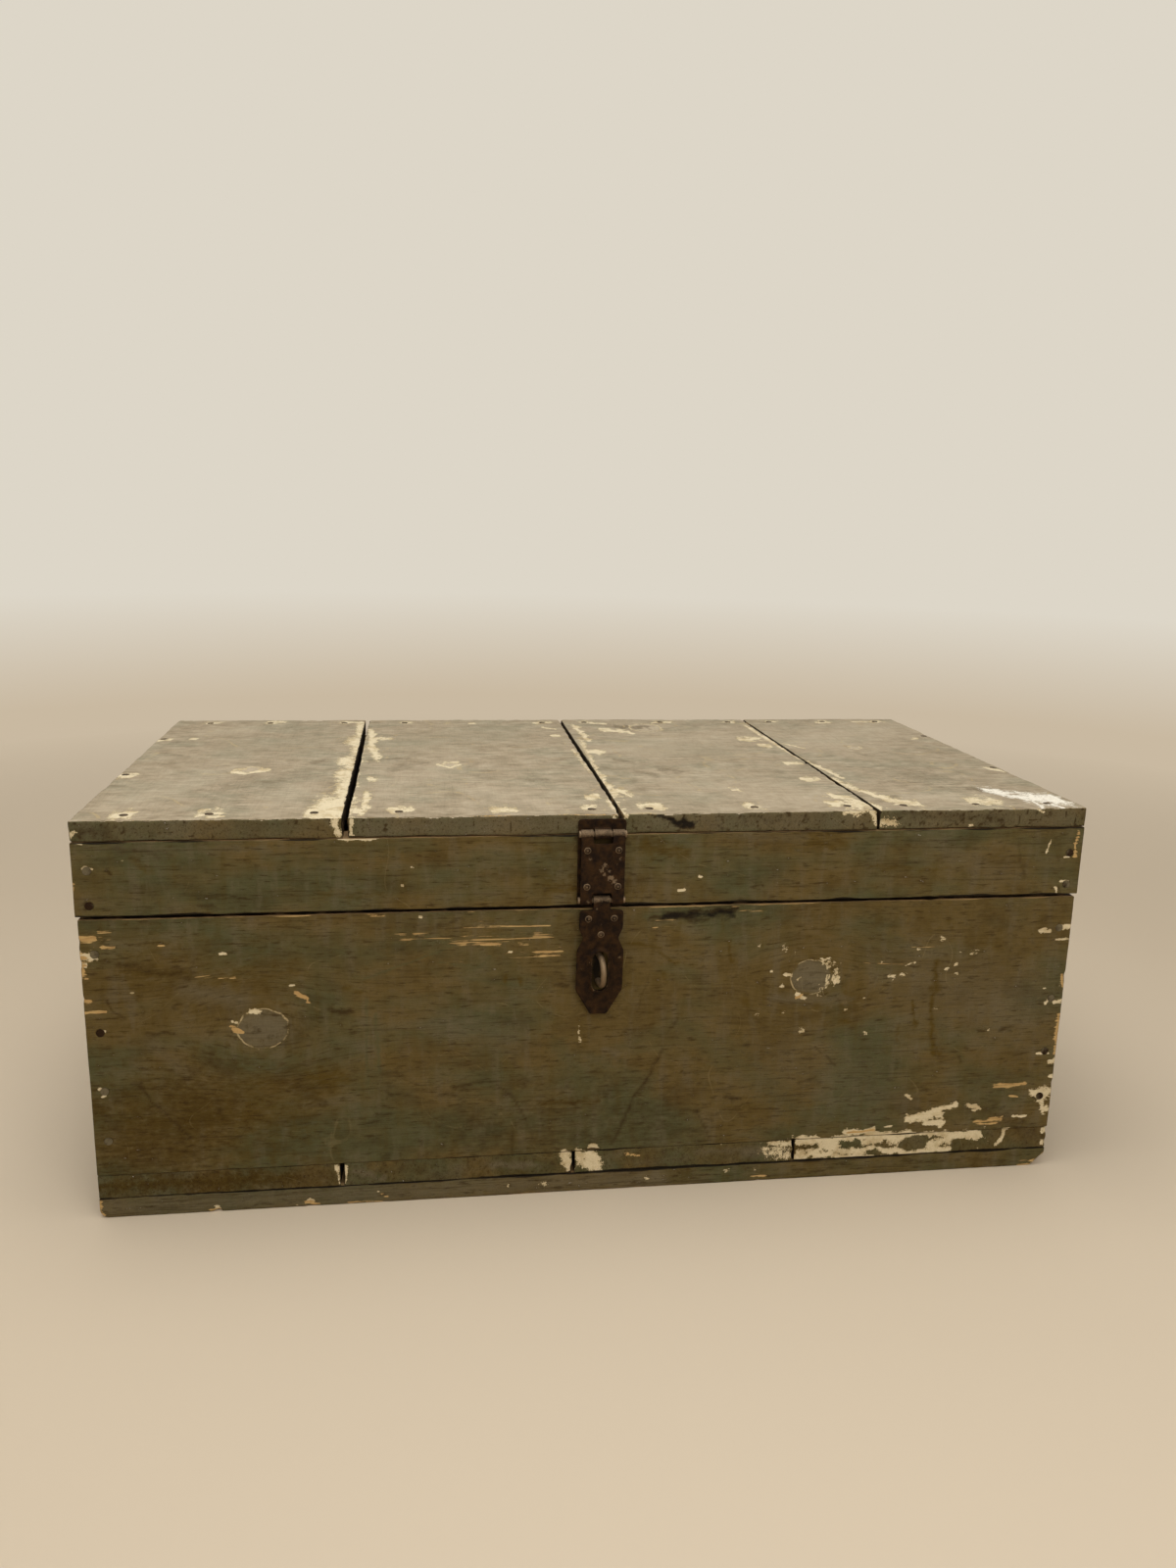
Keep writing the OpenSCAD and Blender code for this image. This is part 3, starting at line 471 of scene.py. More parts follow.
def painted_pine(name, coats, undercoat, chip_mm, scuff, lie, nap):
    """Oil paint brushed over a cream undercoat on sawn pine, decades old. The eye sees a dull
    even coat with soft stains and faint lines of grain, crisp cream chips with ragged ends,
    and tan wood where both coats are gone. scuff is how blotched the coat is, lie how much a
    stain runs across the grain, and nap how much the grain shows through the paint."""
    scene = bpy.context.scene
    wood, ochre, spilt = scene.trunk_wood, scene.trunk_paint.ochre, scene.trunk_paint.spilt
    brown, green, dark, haze = coats
    # Knot brown, two creams, and a near-black for soiling and for painted shade in gaps and seams
    knot_wood, tan_cream, old_cream, dirt_and_shade = map(
        linear, ("#4A2F17", "#9B8659", "#A48C60", "#120C05"))
    material, add = new_material(name)
    field = {key: add("Attribute", out=2, attribute_name=key) for key in (*KINDS, "paint")}
    grain = add("Attribute", out=1, attribute_name="wood")

    # Noises: how much they run along and across the grain, their size in millimetres
    fibre_mm = wood.fibre_width / MM
    even, along, across = (1, 1, 1), (0.03, 1, 1), (lie, 1, 1)
    for key, stretch, size, detail, rough in (
            ("fibre", along, fibre_mm, 3, 0.6), ("streak", along, 3 * fibre_mm, 4, 0.65),
            ("ragged", across, chip_mm, 6, 0.7), ("fray", across, 1.5, 3, 0.6),
            ("blotch", across, 22, 6, 0.66), ("patch", across, 75, 4, 0.55),
            ("broad", even, 130, 3, 0.5), ("contour", even, 120, 1, 0.35),
            ("speck", even, 1.4, 2, 0.6), ("tick", (0.17, 1, 1), 2.6, 3, 0.6),
            ("run", (1, 0.2, 0.2), 11, 4, 0.6), ("scuffs", (1, 0.13, 0.13), 2.4, 3, 0.6)):
        place = add("VectorMath", grain, stretch, operation="MULTIPLY")
        field[key] = add("TexNoise", {"Vector": place, "Scale": 1 / size, "Detail": detail,
                                      "Roughness": rough})
    for key, source, middle in (("tooth", "ragged", 0.5), ("frayed", "fray", 0.5),
                                ("line", "streak", 0.58)):
        field[key] = add("Math", field[source], middle, operation="SUBTRACT")

    # Ragged edges for the marks: each one's height with noise on it
    torn = {}
    for kind, *waves in (
            ("green", ("tooth", 1)), ("pale", ("tooth", 1)), ("knot", ("tooth", 0.2)),
            ("ochre", ("tooth", 1.5)), ("dark", ("tooth", 1.6)), ("grime", ("tooth", 0.9)),
            ("chip", ("tooth", 2.9), ("frayed", 1.7)), ("bare", ("line", 4), ("tooth", 1.2)),
            ("white", ("tooth", 4), ("frayed", 2.4)), ("scrape", ("line", 7))):
        torn[kind] = field[kind]
        for wave, share in waves:
            torn[kind] = add("Math", field[wave], share, torn[kind], operation="MULTIPLY_ADD")

    def layered(base, *rows):
        """Lays tones over a base. A row is a tone, the noise or the mark that says where, its
        values where the tone starts and ends, and the tone's least and greatest share."""
        for tone, source, *span in rows:
            share = add("MapRange", field.get(source, source), *span)
            base = add("Mix", {0: share, 6: base, 7: tone}, out=2, data_type="RGBA")
        return base

    # Growth rings: distance from the tree's middle, bent a little by slow noise
    flat = add("VectorMath", grain, (0, 1, 1), operation="MULTIPLY")
    rings = add("VectorMath", flat, out=1, operation="LENGTH")
    rings = add("Math", field["broad"], 26, rings, operation="MULTIPLY_ADD")
    rings = add("Math", rings, MM / wood.ring_width, operation="MULTIPLY")
    rings = add("Math", rings, operation="FRACT")
    field["late"] = add("MapRange", rings, 0.3, 0.97)
    field["veins"] = add("MapRange", field["late"], 0, 1, 0.12, 0.72)
    pine = layered(wood.early, (wood.late, "veins", 0, 1, 0, 1),
                   (wood.aged, "blotch", 0.3, 0.62, 0.45, 0.95),
                   (knot_wood, "knot", -0.05, 0.2, 0, 0.6))
    split = layered(wood.split, (wood.late, "veins", 0, 1, 0, 0.55))
    cream = layered(undercoat, (tan_cream, torn["chip"], 0.45, 0.03, 0, 0.7),
                    (old_cream, "blotch", 0.49, 0.62, 0, 0.55))

    # A few specks of cream, the paint's lip round a knot, and long fine scratches
    at = {"Vector": add("VectorMath", grain, across, operation="MULTIPLY"), "Scale": 1 / 24}
    away, tints = (add("TexVoronoi", at, out=out) for out in (0, 1))
    reach = add("MapRange", add("SeparateColor", tints), 0.6, 1, -0.02, 0.05)
    dots = add("MapRange", add("Math", reach, away, operation="SUBTRACT"), 0, 0.012, 0, scuff * 2)
    lip = add("Math", field["knot"], 0, 0.035, operation="COMPARE")
    loose = add("MapRange", field["ragged"], 0.46, 0.56, 0, 0.85)
    lip = add("Math", lip, loose, operation="MULTIPLY")
    contour = add("Math", field["contour"], 0.5, 0.0065 - 0.005 * nap, operation="COMPARE")
    few = add("MapRange", field["run"], 0.5, 0.58, 0, 0.8 - 0.7 * nap)
    scratch = add("Math", contour, few, operation="MULTIPLY")
    chip = add("MapRange", torn["chip"], 0.03, 0.1)
    for more in (dots, lip):
        chip = add("Math", chip, more, operation="MAXIMUM")
    bare = add("Math", add("MapRange", torn["bare"], -0.12, 0.1),
               add("MapRange", torn["scrape"], 0.5, 0.75, 0, 0.85), operation="MAXIMUM")

    # The coat in the order its parts lie: slow zones, stains, grain, chips, soiling and painted
    # shade
    coat = layered(
        brown, (green, "patch", 0.44, 0.6, 0, 0.95), (dark, "blotch", 0.48, 0.68, 0, scuff),
        (haze, "blotch", 0.47, 0.3, 0, scuff), (ochre, "patch", 0.46, 0.32, 0, 0.32 * nap),
        (ochre, "run", 0.53, 0.68, 0, 0.3 * nap), (haze, "run", 0.47, 0.32, 0, 0.4),
        (haze, "scuffs", 0.54, 0.66, 0, 0.8 - 0.8 * nap),
        (dark, "scuffs", 0.44, 0.32, 0, 0.55 - 0.55 * nap),
        (green, torn["green"], -0.05, 0.8, 0, 0.75), (haze, torn["pale"], -0.05, 0.75, 0, 0.8),
        (haze, torn["knot"], -0.03, 0.12, 0, 0.7), (ochre, torn["ochre"], 0, 0.75, 0, 0.85),
        (dark, torn["dark"], 0, 0.8, 0, 0.8), (dark, "streak", 0.55, 0.7, 0, 0.6 * nap),
        (dark, "ragged", 0.56, 0.7, 0, 0.15 + 0.4 * nap),
        (dark, "tick", 0.57, 0.68, 0, 0.65 * nap), (haze, "ragged", 0.42, 0.28, 0, 0.35),
        (cream, scratch, 0, 1, 0, 1), (cream, chip, 0, 1, 0, 1), (split, bare, 0, 1, 0, 1),
        (spilt, torn["white"], -0.15, 0.7, 0, 1))
    coat = layered(pine, (coat, "paint", 0, 1, 0, 1),
                   (dirt_and_shade, torn["grime"], -0.05, 0.4, 0, 0.93))
    mottle = add("Math", field["speck"], 0.5, field["fibre"], operation="MULTIPLY_ADD")
    shade = add("MapRange", mottle, 0.45, 1.05, 0.945 - 0.145 * nap, 1.05 + 0.12 * nap)
    colour = add("VectorMath", {0: coat, "Scale": shade}, operation="SCALE")

    # Relief: raised fibres and rings, and the step at a chip's edge
    height = field["fibre"]
    field["step"] = add("Math", chip, bare, operation="MAXIMUM")
    field["spill"] = add("MapRange", torn["white"], -0.15, 0.7)
    for key, share in (("step", -0.6), ("late", 0.2), ("speck", 0.2), ("spill", 0.8)):
        height = add("Math", field[key], share, height, operation="MULTIPLY_ADD")
    rough = add("MapRange", field["blotch"], 0.3, 0.7, 0.62, 0.85)
    surface(add, colour, rough, height, 0.35, 0.6)


def rusted_iron(name, wear, rubbed):
    """Hammered sheet and wire left to rust. Dark matt crust with fine pits, brown on the high
    places, and a dull shine where hands and the padlock have rubbed it bare. wear is how
    bright it gets there, and rubbed how much of it is rubbed all over."""
    iron = bpy.context.scene.trunk_iron
    material, add = new_material(name)
    place = add("TexCoord", out=3)
    fine, mottle = (
        add("TexNoise", {"Vector": place, "Scale": 1 / (size * MM), "Detail": detail,
                         "Roughness": rough})
        for size, detail, rough in ((1.1, 4, 0.7), (7, 5, 0.65)))
    crust = add("MapRange", mottle, 0.4, 0.64)
    rust = add("Mix", {0: crust, 6: iron.rust_dark, 7: iron.rust_light}, out=2, data_type="RGBA")
    high = add("MapRange", add("NewGeometry", out=7), 0.5, 0.6, 0, 0.5)
    rub = add("Math", add("Attribute", out=2, attribute_name="worn"), high, operation="ADD")
    rub = add("Math", rub, rubbed, operation="ADD")
    for wave, share in ((mottle, 0.7), (fine, 0.9)):
        rub = add("Math", wave, share, rub, operation="MULTIPLY_ADD")
    rub = add("MapRange", rub, 1.12, 1.62, 0, wear)
    colour = add("Mix", {0: rub, 6: rust, 7: iron.worn}, out=2, data_type="RGBA")
    metal, rough = (add("MapRange", rub, 0, 1, *ends) for ends in ((0, 0.6), (0.75, 0.45)))
    height = add("Math", mottle, 1.5, fine, operation="MULTIPLY_ADD")
    surface(add, colour, rough, height, 0.5, 0.8, Metallic=metal)


def painted_nail(name, paint):
    """Wire nail heads painted over with the boards and rusting through. The eye sees dull
    paint with brown rust in patches."""
    iron = bpy.context.scene.trunk_iron
    material, add = new_material(name)
    place = add("TexCoord", out=3)
    patch, fine = (
        add("TexNoise", {"Vector": place, "Scale": 1 / (size * MM), "Detail": detail,
                         "Roughness": 0.7}) for size, detail in ((40, 5), (1.1, 3)))
    rust = add("Mix", {0: fine, 6: iron.rust_dark, 7: iron.rust_light}, out=2, data_type="RGBA")
    gone = add("MapRange", patch, 0.44, 0.56)
    colour = add("Mix", {0: gone, 6: paint, 7: rust}, out=2, data_type="RGBA")
    surface(add, colour, 0.7, fine, 0.25, 0.7)


def material_for(name):
    """Makes each material once and keeps it by its name."""
    if name not in bpy.data.materials:
        paint = bpy.context.scene.trunk_paint
        chip_mm = paint.chip_size / MM
        coats = [[getattr(paint, part + tone) for tone in ("brown", "green", "dark", "haze")]
                 for part in ("front_", "top_")]
        make, *values = {
            "brushed_oil_paint_on_pine": (
                painted_pine, coats[0], paint.undercoat, chip_mm, 0.4, 0.5, 1.0),
            # The lid's top coat: scuffed, and lighter as painted light from above
            "scuffed_oil_paint_on_pine": (
                painted_pine, coats[1], paint.top_undercoat, 0.8 * chip_mm, 0.5, 1.3, 0.25),
            "painted_wire_nail": (painted_nail, paint.front_haze),
            "rusted_sheet_iron": (rusted_iron, 0.85, 0.0),
            "worn_wire_iron": (rusted_iron, 1.0, 0.6),
            "hammered_rivet_iron": (rusted_iron, 0.85, 0.34),
        }[name]
        make(name, *values)
    return bpy.data.materials[name]


# Ironwork

def worn_copy(node, body, material, wear):
    """A forged copy of a CAD piece: even mesh, softened corners and rust pits cut inwards.
    wear gives how rubbed each point is and how deep it is cut, from its place."""
    iron = bpy.context.scene.trunk_iron
    piece = bpy.data.objects.new(node + "_forged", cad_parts[node].data.copy())
    bpy.context.scene.collection.objects.link(piece)
    remesh = piece.modifiers.new("Even mesh", "REMESH")
    remesh.mode, remesh.voxel_size, remesh.use_smooth_shade = "VOXEL", iron.voxel, True
    soften = piece.modifiers.new("Soft corners", "SMOOTH")
    soften.factor, soften.iterations = 0.5, 3
    graph = bpy.context.evaluated_depsgraph_get()
    mesh = bpy.data.meshes.new_from_object(piece.evaluated_get(graph))
    bpy.data.objects.remove(piece)
    points, normals = np.zeros((2, len(mesh.vertices) * 3), np.float32)
    mesh.vertices.foreach_get("co", points)
    mesh.vertex_normals.foreach_get("vector", normals)
    points, normals = points.reshape(-1, 3) / MM, normals.reshape(-1, 3)
    worn, cut = wear(points)
    pits = 0.6 + 0.5 * noise(points, 2.4, 31) + 0.6 * np.clip(noise(points, 6, 32), 0, 1)
    depth = np.clip(iron.pit / MM * pits, 0, None) + cut
    mesh.vertices.foreach_set("co", ((points - normals * depth[:, None]) * MM).ravel())
    layer = mesh.attributes.new("worn", "FLOAT", "POINT")
    layer.data.foreach_set("value", worn.astype(np.float32))
    mesh.update()
    put(node + "_forged", mesh, body, material_for(material), node)


def dress(nodes, material):
    """Gives CAD pieces that keep their own mesh a material."""
    for node in nodes.split():
        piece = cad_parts[node]
        piece.data.materials.clear()
        piece.data.materials.append(material_for(material))


# What is where on the trunk, in millimetres in the trunk's own frame

FRONT_Y = -243.25
# What scattered marks cover: along and across the box, up its sides and up the lid's rails
LONG, DEEP, SIDE_Z, RAIL_Z = (-470, 470), (-215, 235), (50, 290), (302, 366)
SIDE_NAILS = [(x, z) for x in (-462.5, 462.5) for z in (79.42, 130.02, 188.21, 264.11)]
RAIL_NAILS = [(x, z) for x in (-463.5, 463.5) for z in (310.35, 342.78)]
TOP_NAILS = ((-433.8, -360.1, -267.5), (-191.1, -12.2), (43.0, 145.5, 238.0),
             (295.1, 369.8, 444.5))
TOP_NAIL_Y = (-224.75, 238.75)
TOP_END_NAIL_X, TOP_END_NAIL_Y = {0: -469.5, 3: 469.5}, (-58.5, 132.9)
FLOOR_NAIL_X, FLOOR_NAIL_Y = {0: -463, 3: 463}, (-117.75, 7.75, 133.25)
RUNNER_NAIL_X = (-427.5, -190, 95, 418)
RIGHT_KNOT = (207, 220)
# Knots in the top boards: along, across and radius
TOP_KNOTS = ((-41.4, -346.7, 11), (-24, -138.5, 8), (197, 118, 20), (60, 350, 7))
# Outer side of each of the four boards in a row
OUTER = ("-x", "", "", "+x")

HASP_X, HASP_PIN_Y, HASP_PINS_Z, KNUCKLE_R, KNUCKLE_JOINT = -5, -251.7, (371.5, 307.5), 4.55, 8.5
SLOT_LOW, SLOT_HIGH = 224.5, 250.0
# Pale spots on the hasp, rubbed iron, and round the slot painted glints: x, z, radius and strength
HASP_SPOTS = [
    (-3.2, 342, 3, 0.8), (-6.5, 337.5, 2, 0.6), (0.5, 337, 2, 0.7), (-3, 333, 2.2, 0.7),
    (2.9, 330, 2.6, 0.8), (6.3, 326.5, 2.6, 0.8), (-16.8, 348.5, 1.6, 0.6), (11, 349, 1.8, 0.6),
    (8, 343, 1.2, 0.4), (-12.3, 331, 1.3, 0.5), (-17.7, 312.5, 1, 0.5), (-18, 307, 1.6, 0.5),
    (-10.4, 217, 0.8, 0.6), (1.6, 227.9, 0.9, 0.9), (13.6, 250.4, 1.1, 0.6),
    (-9.5, 300, 1.5, 0.5), (-5, 285, 1.2, 0.4), (-17, 288, 2, 0.4), (-23, 240, 2.2, 0.3),
]

# Marks by kind, read off the photograph, on the fronts in x and z and on the top in x
# and y: a mark's start, its run in both directions, half its width and its strength

FRONT_MARKS = {"chip": [
    (-463, 190, 4, 0, 1.4), (-353, 262, 4, 0, 1.4), (-475, 264, 10, -1, 4.1),
    (-292, 229, 4, 0, 1.2), (-329, 205, 6, -1, 2.5), (-345, 195, 4, -1, 2.3, 0.9),
    (-467, 133, 1, 0, 1.4), (-464, 125, 2, 1, 1.4), (-173, 292, 2, 0, 1.6), (-91, 255, 3, 0, 1.2),
    (-34, 43, 4, -4, 5.1), (-20, 41, 17, -3, 5.1), (-22, 178, 1, -16, 1.2, 0.4),
    (176, 41, 19, 0, 2.6, 0.6), (203, 45, 24, -1, 3), (254, 49, 29, 0, 3), (180, 223, 6, 0, 1.8),
    (193, 203, 9, -5, 2.5), (229, 234, 4, -18, 1.6, 0.1), (442, 262, 9, -1, 2.3),
    (463, 264, 10, 1, 3), (461, 252, 11, 0, 1.6), (287, 218, 7, 1, 1.2, 0.5),
    (304, 229, 10, 3, 0.9, 0.7), (457, 184, 4, 4, 2.1), (467, 184, 9, 2, 2.3),
    (453, 200, 2, 0, 1.4), (454, 127, 12, 1, 1.6), (469, 118, 5, 1, 2.5), (471, 101, 3, 0, 1.8),
    (455, 84, 18, 1, 5.1), (464, 76, 7, -12, 4.6, 0.9), (316, 88, 7, -4, 1.8),
    (319, 60, 15, 3, 3.5), (334, 63, 19, 1, 6), (342, 68, 29, 6, 3.2), (338, 57, 18, -2, 3.2),
    (384, 74, 14, -4, 3), (390, 68, 3, -1, 1.6), (435, 58, 14, -1, 1.4), (427, 43, -1, -8, 2.3),
    (426, 35, -6, -9, 2.3), (427, 44, 5, 0, 1.6), (296, 53, 8, 1, 1.2), (242, 42, 34, 1, 3.5),
    (276, 43, 52, 1, 3.5), (294, 40, 24, 0, 4.6), (328, 44, 72, -3, 2.8), (348, 30, 21, 8, 5.5),
    (369, 38, 13, 2, 5.1), (390, 40, 11, -4, 4.6),
], "bare": [
    (-458, 285, 12, -1, 1.8), (-474, 279, 8, -1, 5), (-456, 270, 11, 0, 1.8),
    (-475, 262, 2, -16, 5.5), (-474, 223, 5, -1, 3.2), (-474, 209, 18, 0, 1.8),
    (-407, 270, 5, 1, 1.4), (-286, 221, 10, -8, 3.2), (-346, 189, 8, -5, 2.5, 0.9),
    (-356, 238, 15, 1, 1.2, 0.8), (-127, 298, 101, 0, 1.8, 0.3), (-81, 263, 8, -1, 2.1, 0.5),
    (-117, 264, 18, -1, 1.4, 0.4), (-64, 253, 23, -1, 3.5, 0.45), (-220, 295, 13, -2, 1.8, 0.3),
    (51, 279, 17, 1, 2.1, 0.3), (193, 199, 7, 3, 1.8), (411, 94, 32, 0, 3.2), (394, 53, 27, 2, 3),
    (257, 49, 27, 1, 1.6), (471, 213, 3, -13, 1.8), (474, 170, -1, -27, 3.2),
    (474, 143, -1, -16, 1.8, 0.8), (429, 81, 9, -1, 1.2, 0.8),
], "scrape": [
    (-196, 277, 63, -11, 5.1), (-133, 272, 82, -3, 9.7), (-118, 282, 65, -1, 4.6),
    (-136, 248, 79, 3, 4.6, 0.6), (51, 281, 18, -4, 3.7), (124, 293, 36, -4, 2.8, 0.8),
    (440, 264, 34, 2, 3.2, 0.7), (310, 248, 36, -1, 3.2, 0.6), (249, 226, 65, 3, 6, 0.4),
    (-376, 241, 54, -5, 2.8, 0.7), (-458, 284, 14, -14, 5.1, 0.7),
], "ochre": [
    (-278, 137, 22, -9, 12.7, 0.65), (-303, 132, 33, -12, 9.2, 0.6), (-439, 246, 63, -4, 6.9, 0.5),
    (-474, 115, 32, -17, 10.3, 0.6), (-350, 131, 40, 0, 3.7, 0.6), (-349, 126, 7, -8, 4.6, 0.6),
    (-265, 137, 14, -3, 16.1, 0.65), (-242, 224, 13, -4, 4.6, 0.6), (-94, 232, 0, -7, 2.1, 0.8),
    (-80, 229, 1, -8, 2.3, 0.8), (-60, 98, 60, -1, 4.6, 0.5), (24, 261, 32, -6, 2.5, 0.7),
    (54, 252, 17, -14, 2.5, 0.7), (57, 232, 5, -10, 3.5, 0.6), (122, 260, 4, -20, 3, 0.9),
    (141, 199, 6, -13, 4.6, 0.5), (336, 231, 2, -29, 5.5, 0.75), (333, 205, 7, -72, 3.9, 0.75),
    (343, 138, 3, -5, 3.7, 0.75), (315, 190, 3, -27, 2.8, 0.8), (301, 164, 1, -16, 3.2, 0.6),
    (240, 172, 11, -3, 5.1, 0.6), (346, 274, 1, -8, 2.8, 0.6), (369, 253, 37, -6, 13.8, 0.4),
], "dark": [
    (-438, 136, 6, 0, 2.4, 0.75), (-432, 134, 13, -18, 2.8, 0.75), (-419, 116, 31, -37, 3.1, 0.75),
    (-455, 219, 5, -10, 1.6, 0.75), (-450, 209, 10, -7, 1.6, 0.75), (-398, 210, 5, 0, 2.8, 0.68),
    (-422, 187, 26, -3, 2.8, 0.6), (-369, 159, 19, -15, 10.3, 0.5), (-362, 117, 0, -15, 3.1, 0.6),
    (-425, 70, 32, -4, 2.8, 0.6), (-301, 136, 31, -24, 11.5, 0.4), (-451, 256, 71, -16, 7.8, 0.4),
    (-471, 117, 22, -28, 11.5, 0.35), (-256, 203, 18, -2, 3.9, 0.9), (-157, 284, 18, 3, 1.9, 0.6),
    (-117, 258, 3, 0, 1.9, 0.68), (-206, 117, 10, -3, 3.1, 0.6), (-196, 114, 18, -3, 2.2, 0.6),
    (-216, 95, 13, 0, 2.8, 0.68), (-143, 120, 16, 0, 3, 0.8), (-157, 113, 16, -2, 2.8, 0.6),
    (-127, 124, 29, -1, 1.9, 0.52), (-100, 120, 16, -16, 2.4, 0.75),
    (-84, 104, 13, -26, 1.6, 0.75), (-71, 78, 8, -24, 1.6, 0.52), (-86, 66, 0, -21, 1.6, 0.6),
    (-98, 64, 4, 18, 1.6, 0.45), (-60, 98, 60, -1, 3.2, 0.5), (-46, 220, 13, 0, 2.4, 0.75),
    (-210, 137, 21, -6, 5.1, 0.4), (-241, 260, 4, 0, 1.9, 0.45), (-213, 52, 4, -10, 3.1, 0.52),
    (-194, 51, 2, -5, 2.8, 0.52), (43, 286, 19, 0, 2.5), (62, 288, 21, -2, 5.1),
    (83, 291, 43, 0, 3.5), (78, 282, 22, 0, 2.8, 0.6), (99, 251, 16, -7, 1.9, 0.6),
    (45, 228, -10, -33, 1.9, 0.45), (66, 168, 11, 18, 2.2, 0.45), (84, 162, 8, -4, 2.5, 0.8),
    (60, 148, -10, -23, 3.1, 0.68), (50, 125, -16, -26, 2.5, 0.9), (34, 99, -20, -49, 3, 0.8),
    (82, 84, 15, -2, 1.9, 0.6), (97, 82, 16, -32, 1.9, 0.6), (126, 95, 16, -2, 2.4, 0.75),
    (124, 82, 18, -1, 1.6, 0.6), (152, 81, 31, -1, 1.6, 0.68), (217, 146, 21, -22, 1.9, 0.6),
    (189, 144, 28, -8, 1.2, 0.45), (201, 108, 18, 5, 2.2, 0.6), (144, 151, 2, -2, 2.8, 0.6),
    (81, 127, 3, -2, 2.2, 0.6), (50, 64, 58, -7, 5.1, 0.35), (411, 156, 11, 2, 3.1, 0.75),
    (375, 138, 3, -1, 2.5, 0.8), (369, 128, 3, -6, 2.2, 0.6), (455, 78, 9, -1, 2.2, 0.75),
    (334, 94, 16, -4, 3.1, 0.38), (409, 64, 63, -32, 13.8, 0.35),
], "green": [
    (-226, 232, 31, 12, 1.6, 0.8), (-195, 244, 43, 15, 1.4, 0.8), (-156, 247, 39, -6, 1.2, 0.8),
    (-117, 241, 9, 11, 1.2, 0.8), (-223, 212, -1, -94, 2.1, 0.8), (-215, 197, 2, -60, 2.1, 0.8),
    (-136, 231, 67, -12, 1.6, 0.5), (-172, 267, 27, -1, 5.1, 0.5), (-42, 158, 30, -38, 13.8, 0.5),
    (40, 289, 86, 1, 6, 0.9), (91, 167, 33, -35, 13.8, 0.5), (-8, 141, 57, -24, 11.5, 0.5),
    (124, 148, 90, -85, 18.4, 0.4), (98, 291, 10, -25, 6.9, 0.3), (-283, 277, 29, -63, 13.8, 0.4),
    (-440, 261, 2, -3, 2.8, 0.6), (-336, 158, 16, -8, 5.5, 0.4), (236, 267, 66, -17, 13.8, 0.4),
    (230, 206, 25, -134, 13.8, 0.35), (344, 165, 38, -50, 11.5, 0.4),
], "pale": [
    (-385, 228, 52, -12, 13.8, 0.7), (-319, 186, 4, -1, 20.7, 0.9), (-418, 176, 29, -30, 9.2, 0.4),
    (-219, 192, 2, -19, 1.6, 0.7), (-154, 185, 65, -18, 20.7, 0.3), (203, 222, 5, 0, 17, 0.9),
    (171, 198, 73, -2, 7.8, 0.6), (4, 150, 14, -3, 5.1, 0.6), (316, 244, 124, -72, 25.3, 0.25),
    (258, 99, 67, -20, 13.8, 0.3),
]}
RAIL_MARKS = {"chip": [
    (-467, 345, 3, 2, 1.2), (-464, 347, 6, -2, 1.2), (-471, 369, 5, -1, 1.2),
    (-245, 369, 32, 0, 1.8), (-180, 341, 1, 0, 1.2, 0.9), (-190, 324, 1, 0, 1.2, 0.9),
    (90, 326, 0, 0, 1.4), (70, 313, 5, 0, 1.2), (438, 342, 4, 14, 0.9, 0.8), (458, 338, 5, 0, 1.2),
    (457, 314, 8, -1, 1.6), (452, 307, 2, -4, 1.4, 0.8),
], "bare": [
    (470, 363, -1, -23, 2.3, 0.8), (-476, 331, 0, -9, 1.4, 0.7), (-476, 382, 0, -8, 1.6, 0.7),
], "ochre": [
    (-423, 352, 11, -11, 7.4, 0.5), (-52, 319, 24, -3, 10.3, 0.7), (-260, 317, 44, -1, 6.9, 0.4),
    (-70, 362, 18, -10, 6.9, 0.4), (36, 356, 40, -6, 10.3, 0.6), (195, 358, 39, -5, 5.5, 0.5),
    (219, 354, 15, -1, 4.6, 0.5), (258, 332, 87, -4, 3.7, 0.4),
], "dark": [
    (-447, 342, 4, -2, 1.8), (-456, 343, -1, -15, 0.9, 0.6), (-372, 316, 35, 0, 1.6, 0.6),
    (-370, 308, 11, 1, 2.1, 0.7), (-335, 315, 6, -1, 1.6, 0.7), (-466, 311, 0, -1, 3.2, 0.6),
    (-319, 345, 4, 0, 1.4, 0.5), (-442, 362, 52, -6, 4.6, 0.25), (-202, 338, 2, 0, 1.4),
    (186, 318, 2, 0, 1.4), (150, 320, 2, -5, 1.2, 0.7), (100, 328, 97, -12, 0.8, 0.5),
    (132, 361, 12, 1, 0.9, 0.5), (427, 303, 11, -1, 2.1), (454, 309, 4, -6, 1.8, 0.7),
    (409, 354, 9, -35, 4.6, 0.35),
], "green": [
    (-310, 353, 60, -6, 11.5, 0.5), (-258, 361, 91, 1, 13.8, 0.5), (-136, 345, 77, -4, 11.5, 0.35),
    (114, 345, 82, -4, 11.5, 0.3),
], "pale": [
    (318, 356, 79, -34, 16.1, 0.3), (122, 366, 72, -4, 6.9, 0.3), (-452, 364, 146, -4, 3.7, 0.3),
]}
TOP_EDGE_MARKS = {"chip": [
    (-476, 377, 4, 1, 2.3, 0.8), (-477, 382, 2, -8, 1.4, 0.8), (-248, 386, 5, -13, 4.1, 0.85),
    (-234, 386, 0, -14, 1.8, 0.9), (-240, 372, 8, 0, 1.2, 0.9), (11, 395, 7, -7, 4.1, 0.85),
    (4, 394, 2, -10, 1.4, 0.8), (253, 391, 8, -11, 3.2, 0.9), (265, 376, 13, 2, 4.6, 0.6),
    (424, 390, 7, -5, 1.8), (231, 389, 25, 2, 4.6, 0.5), (356, 372, 2, 0, 1.2),
], "dark": [
    (-474, 377, 31, 1, 7.8, 0.55), (-90, 384, 0, -12, 0.9), (48, 387, 10, -4, 2.2, 1.6),
    (58, 383, 14, -5, 3.6, 1.7), (72, 378, 10, -2, 4, 1.7), (126, 383, 43, -3, 6.9, 0.25),
    (429, 380, 1, -9, 0.9), (283, 387, 108, -10, 5.5, 0.4),
]}
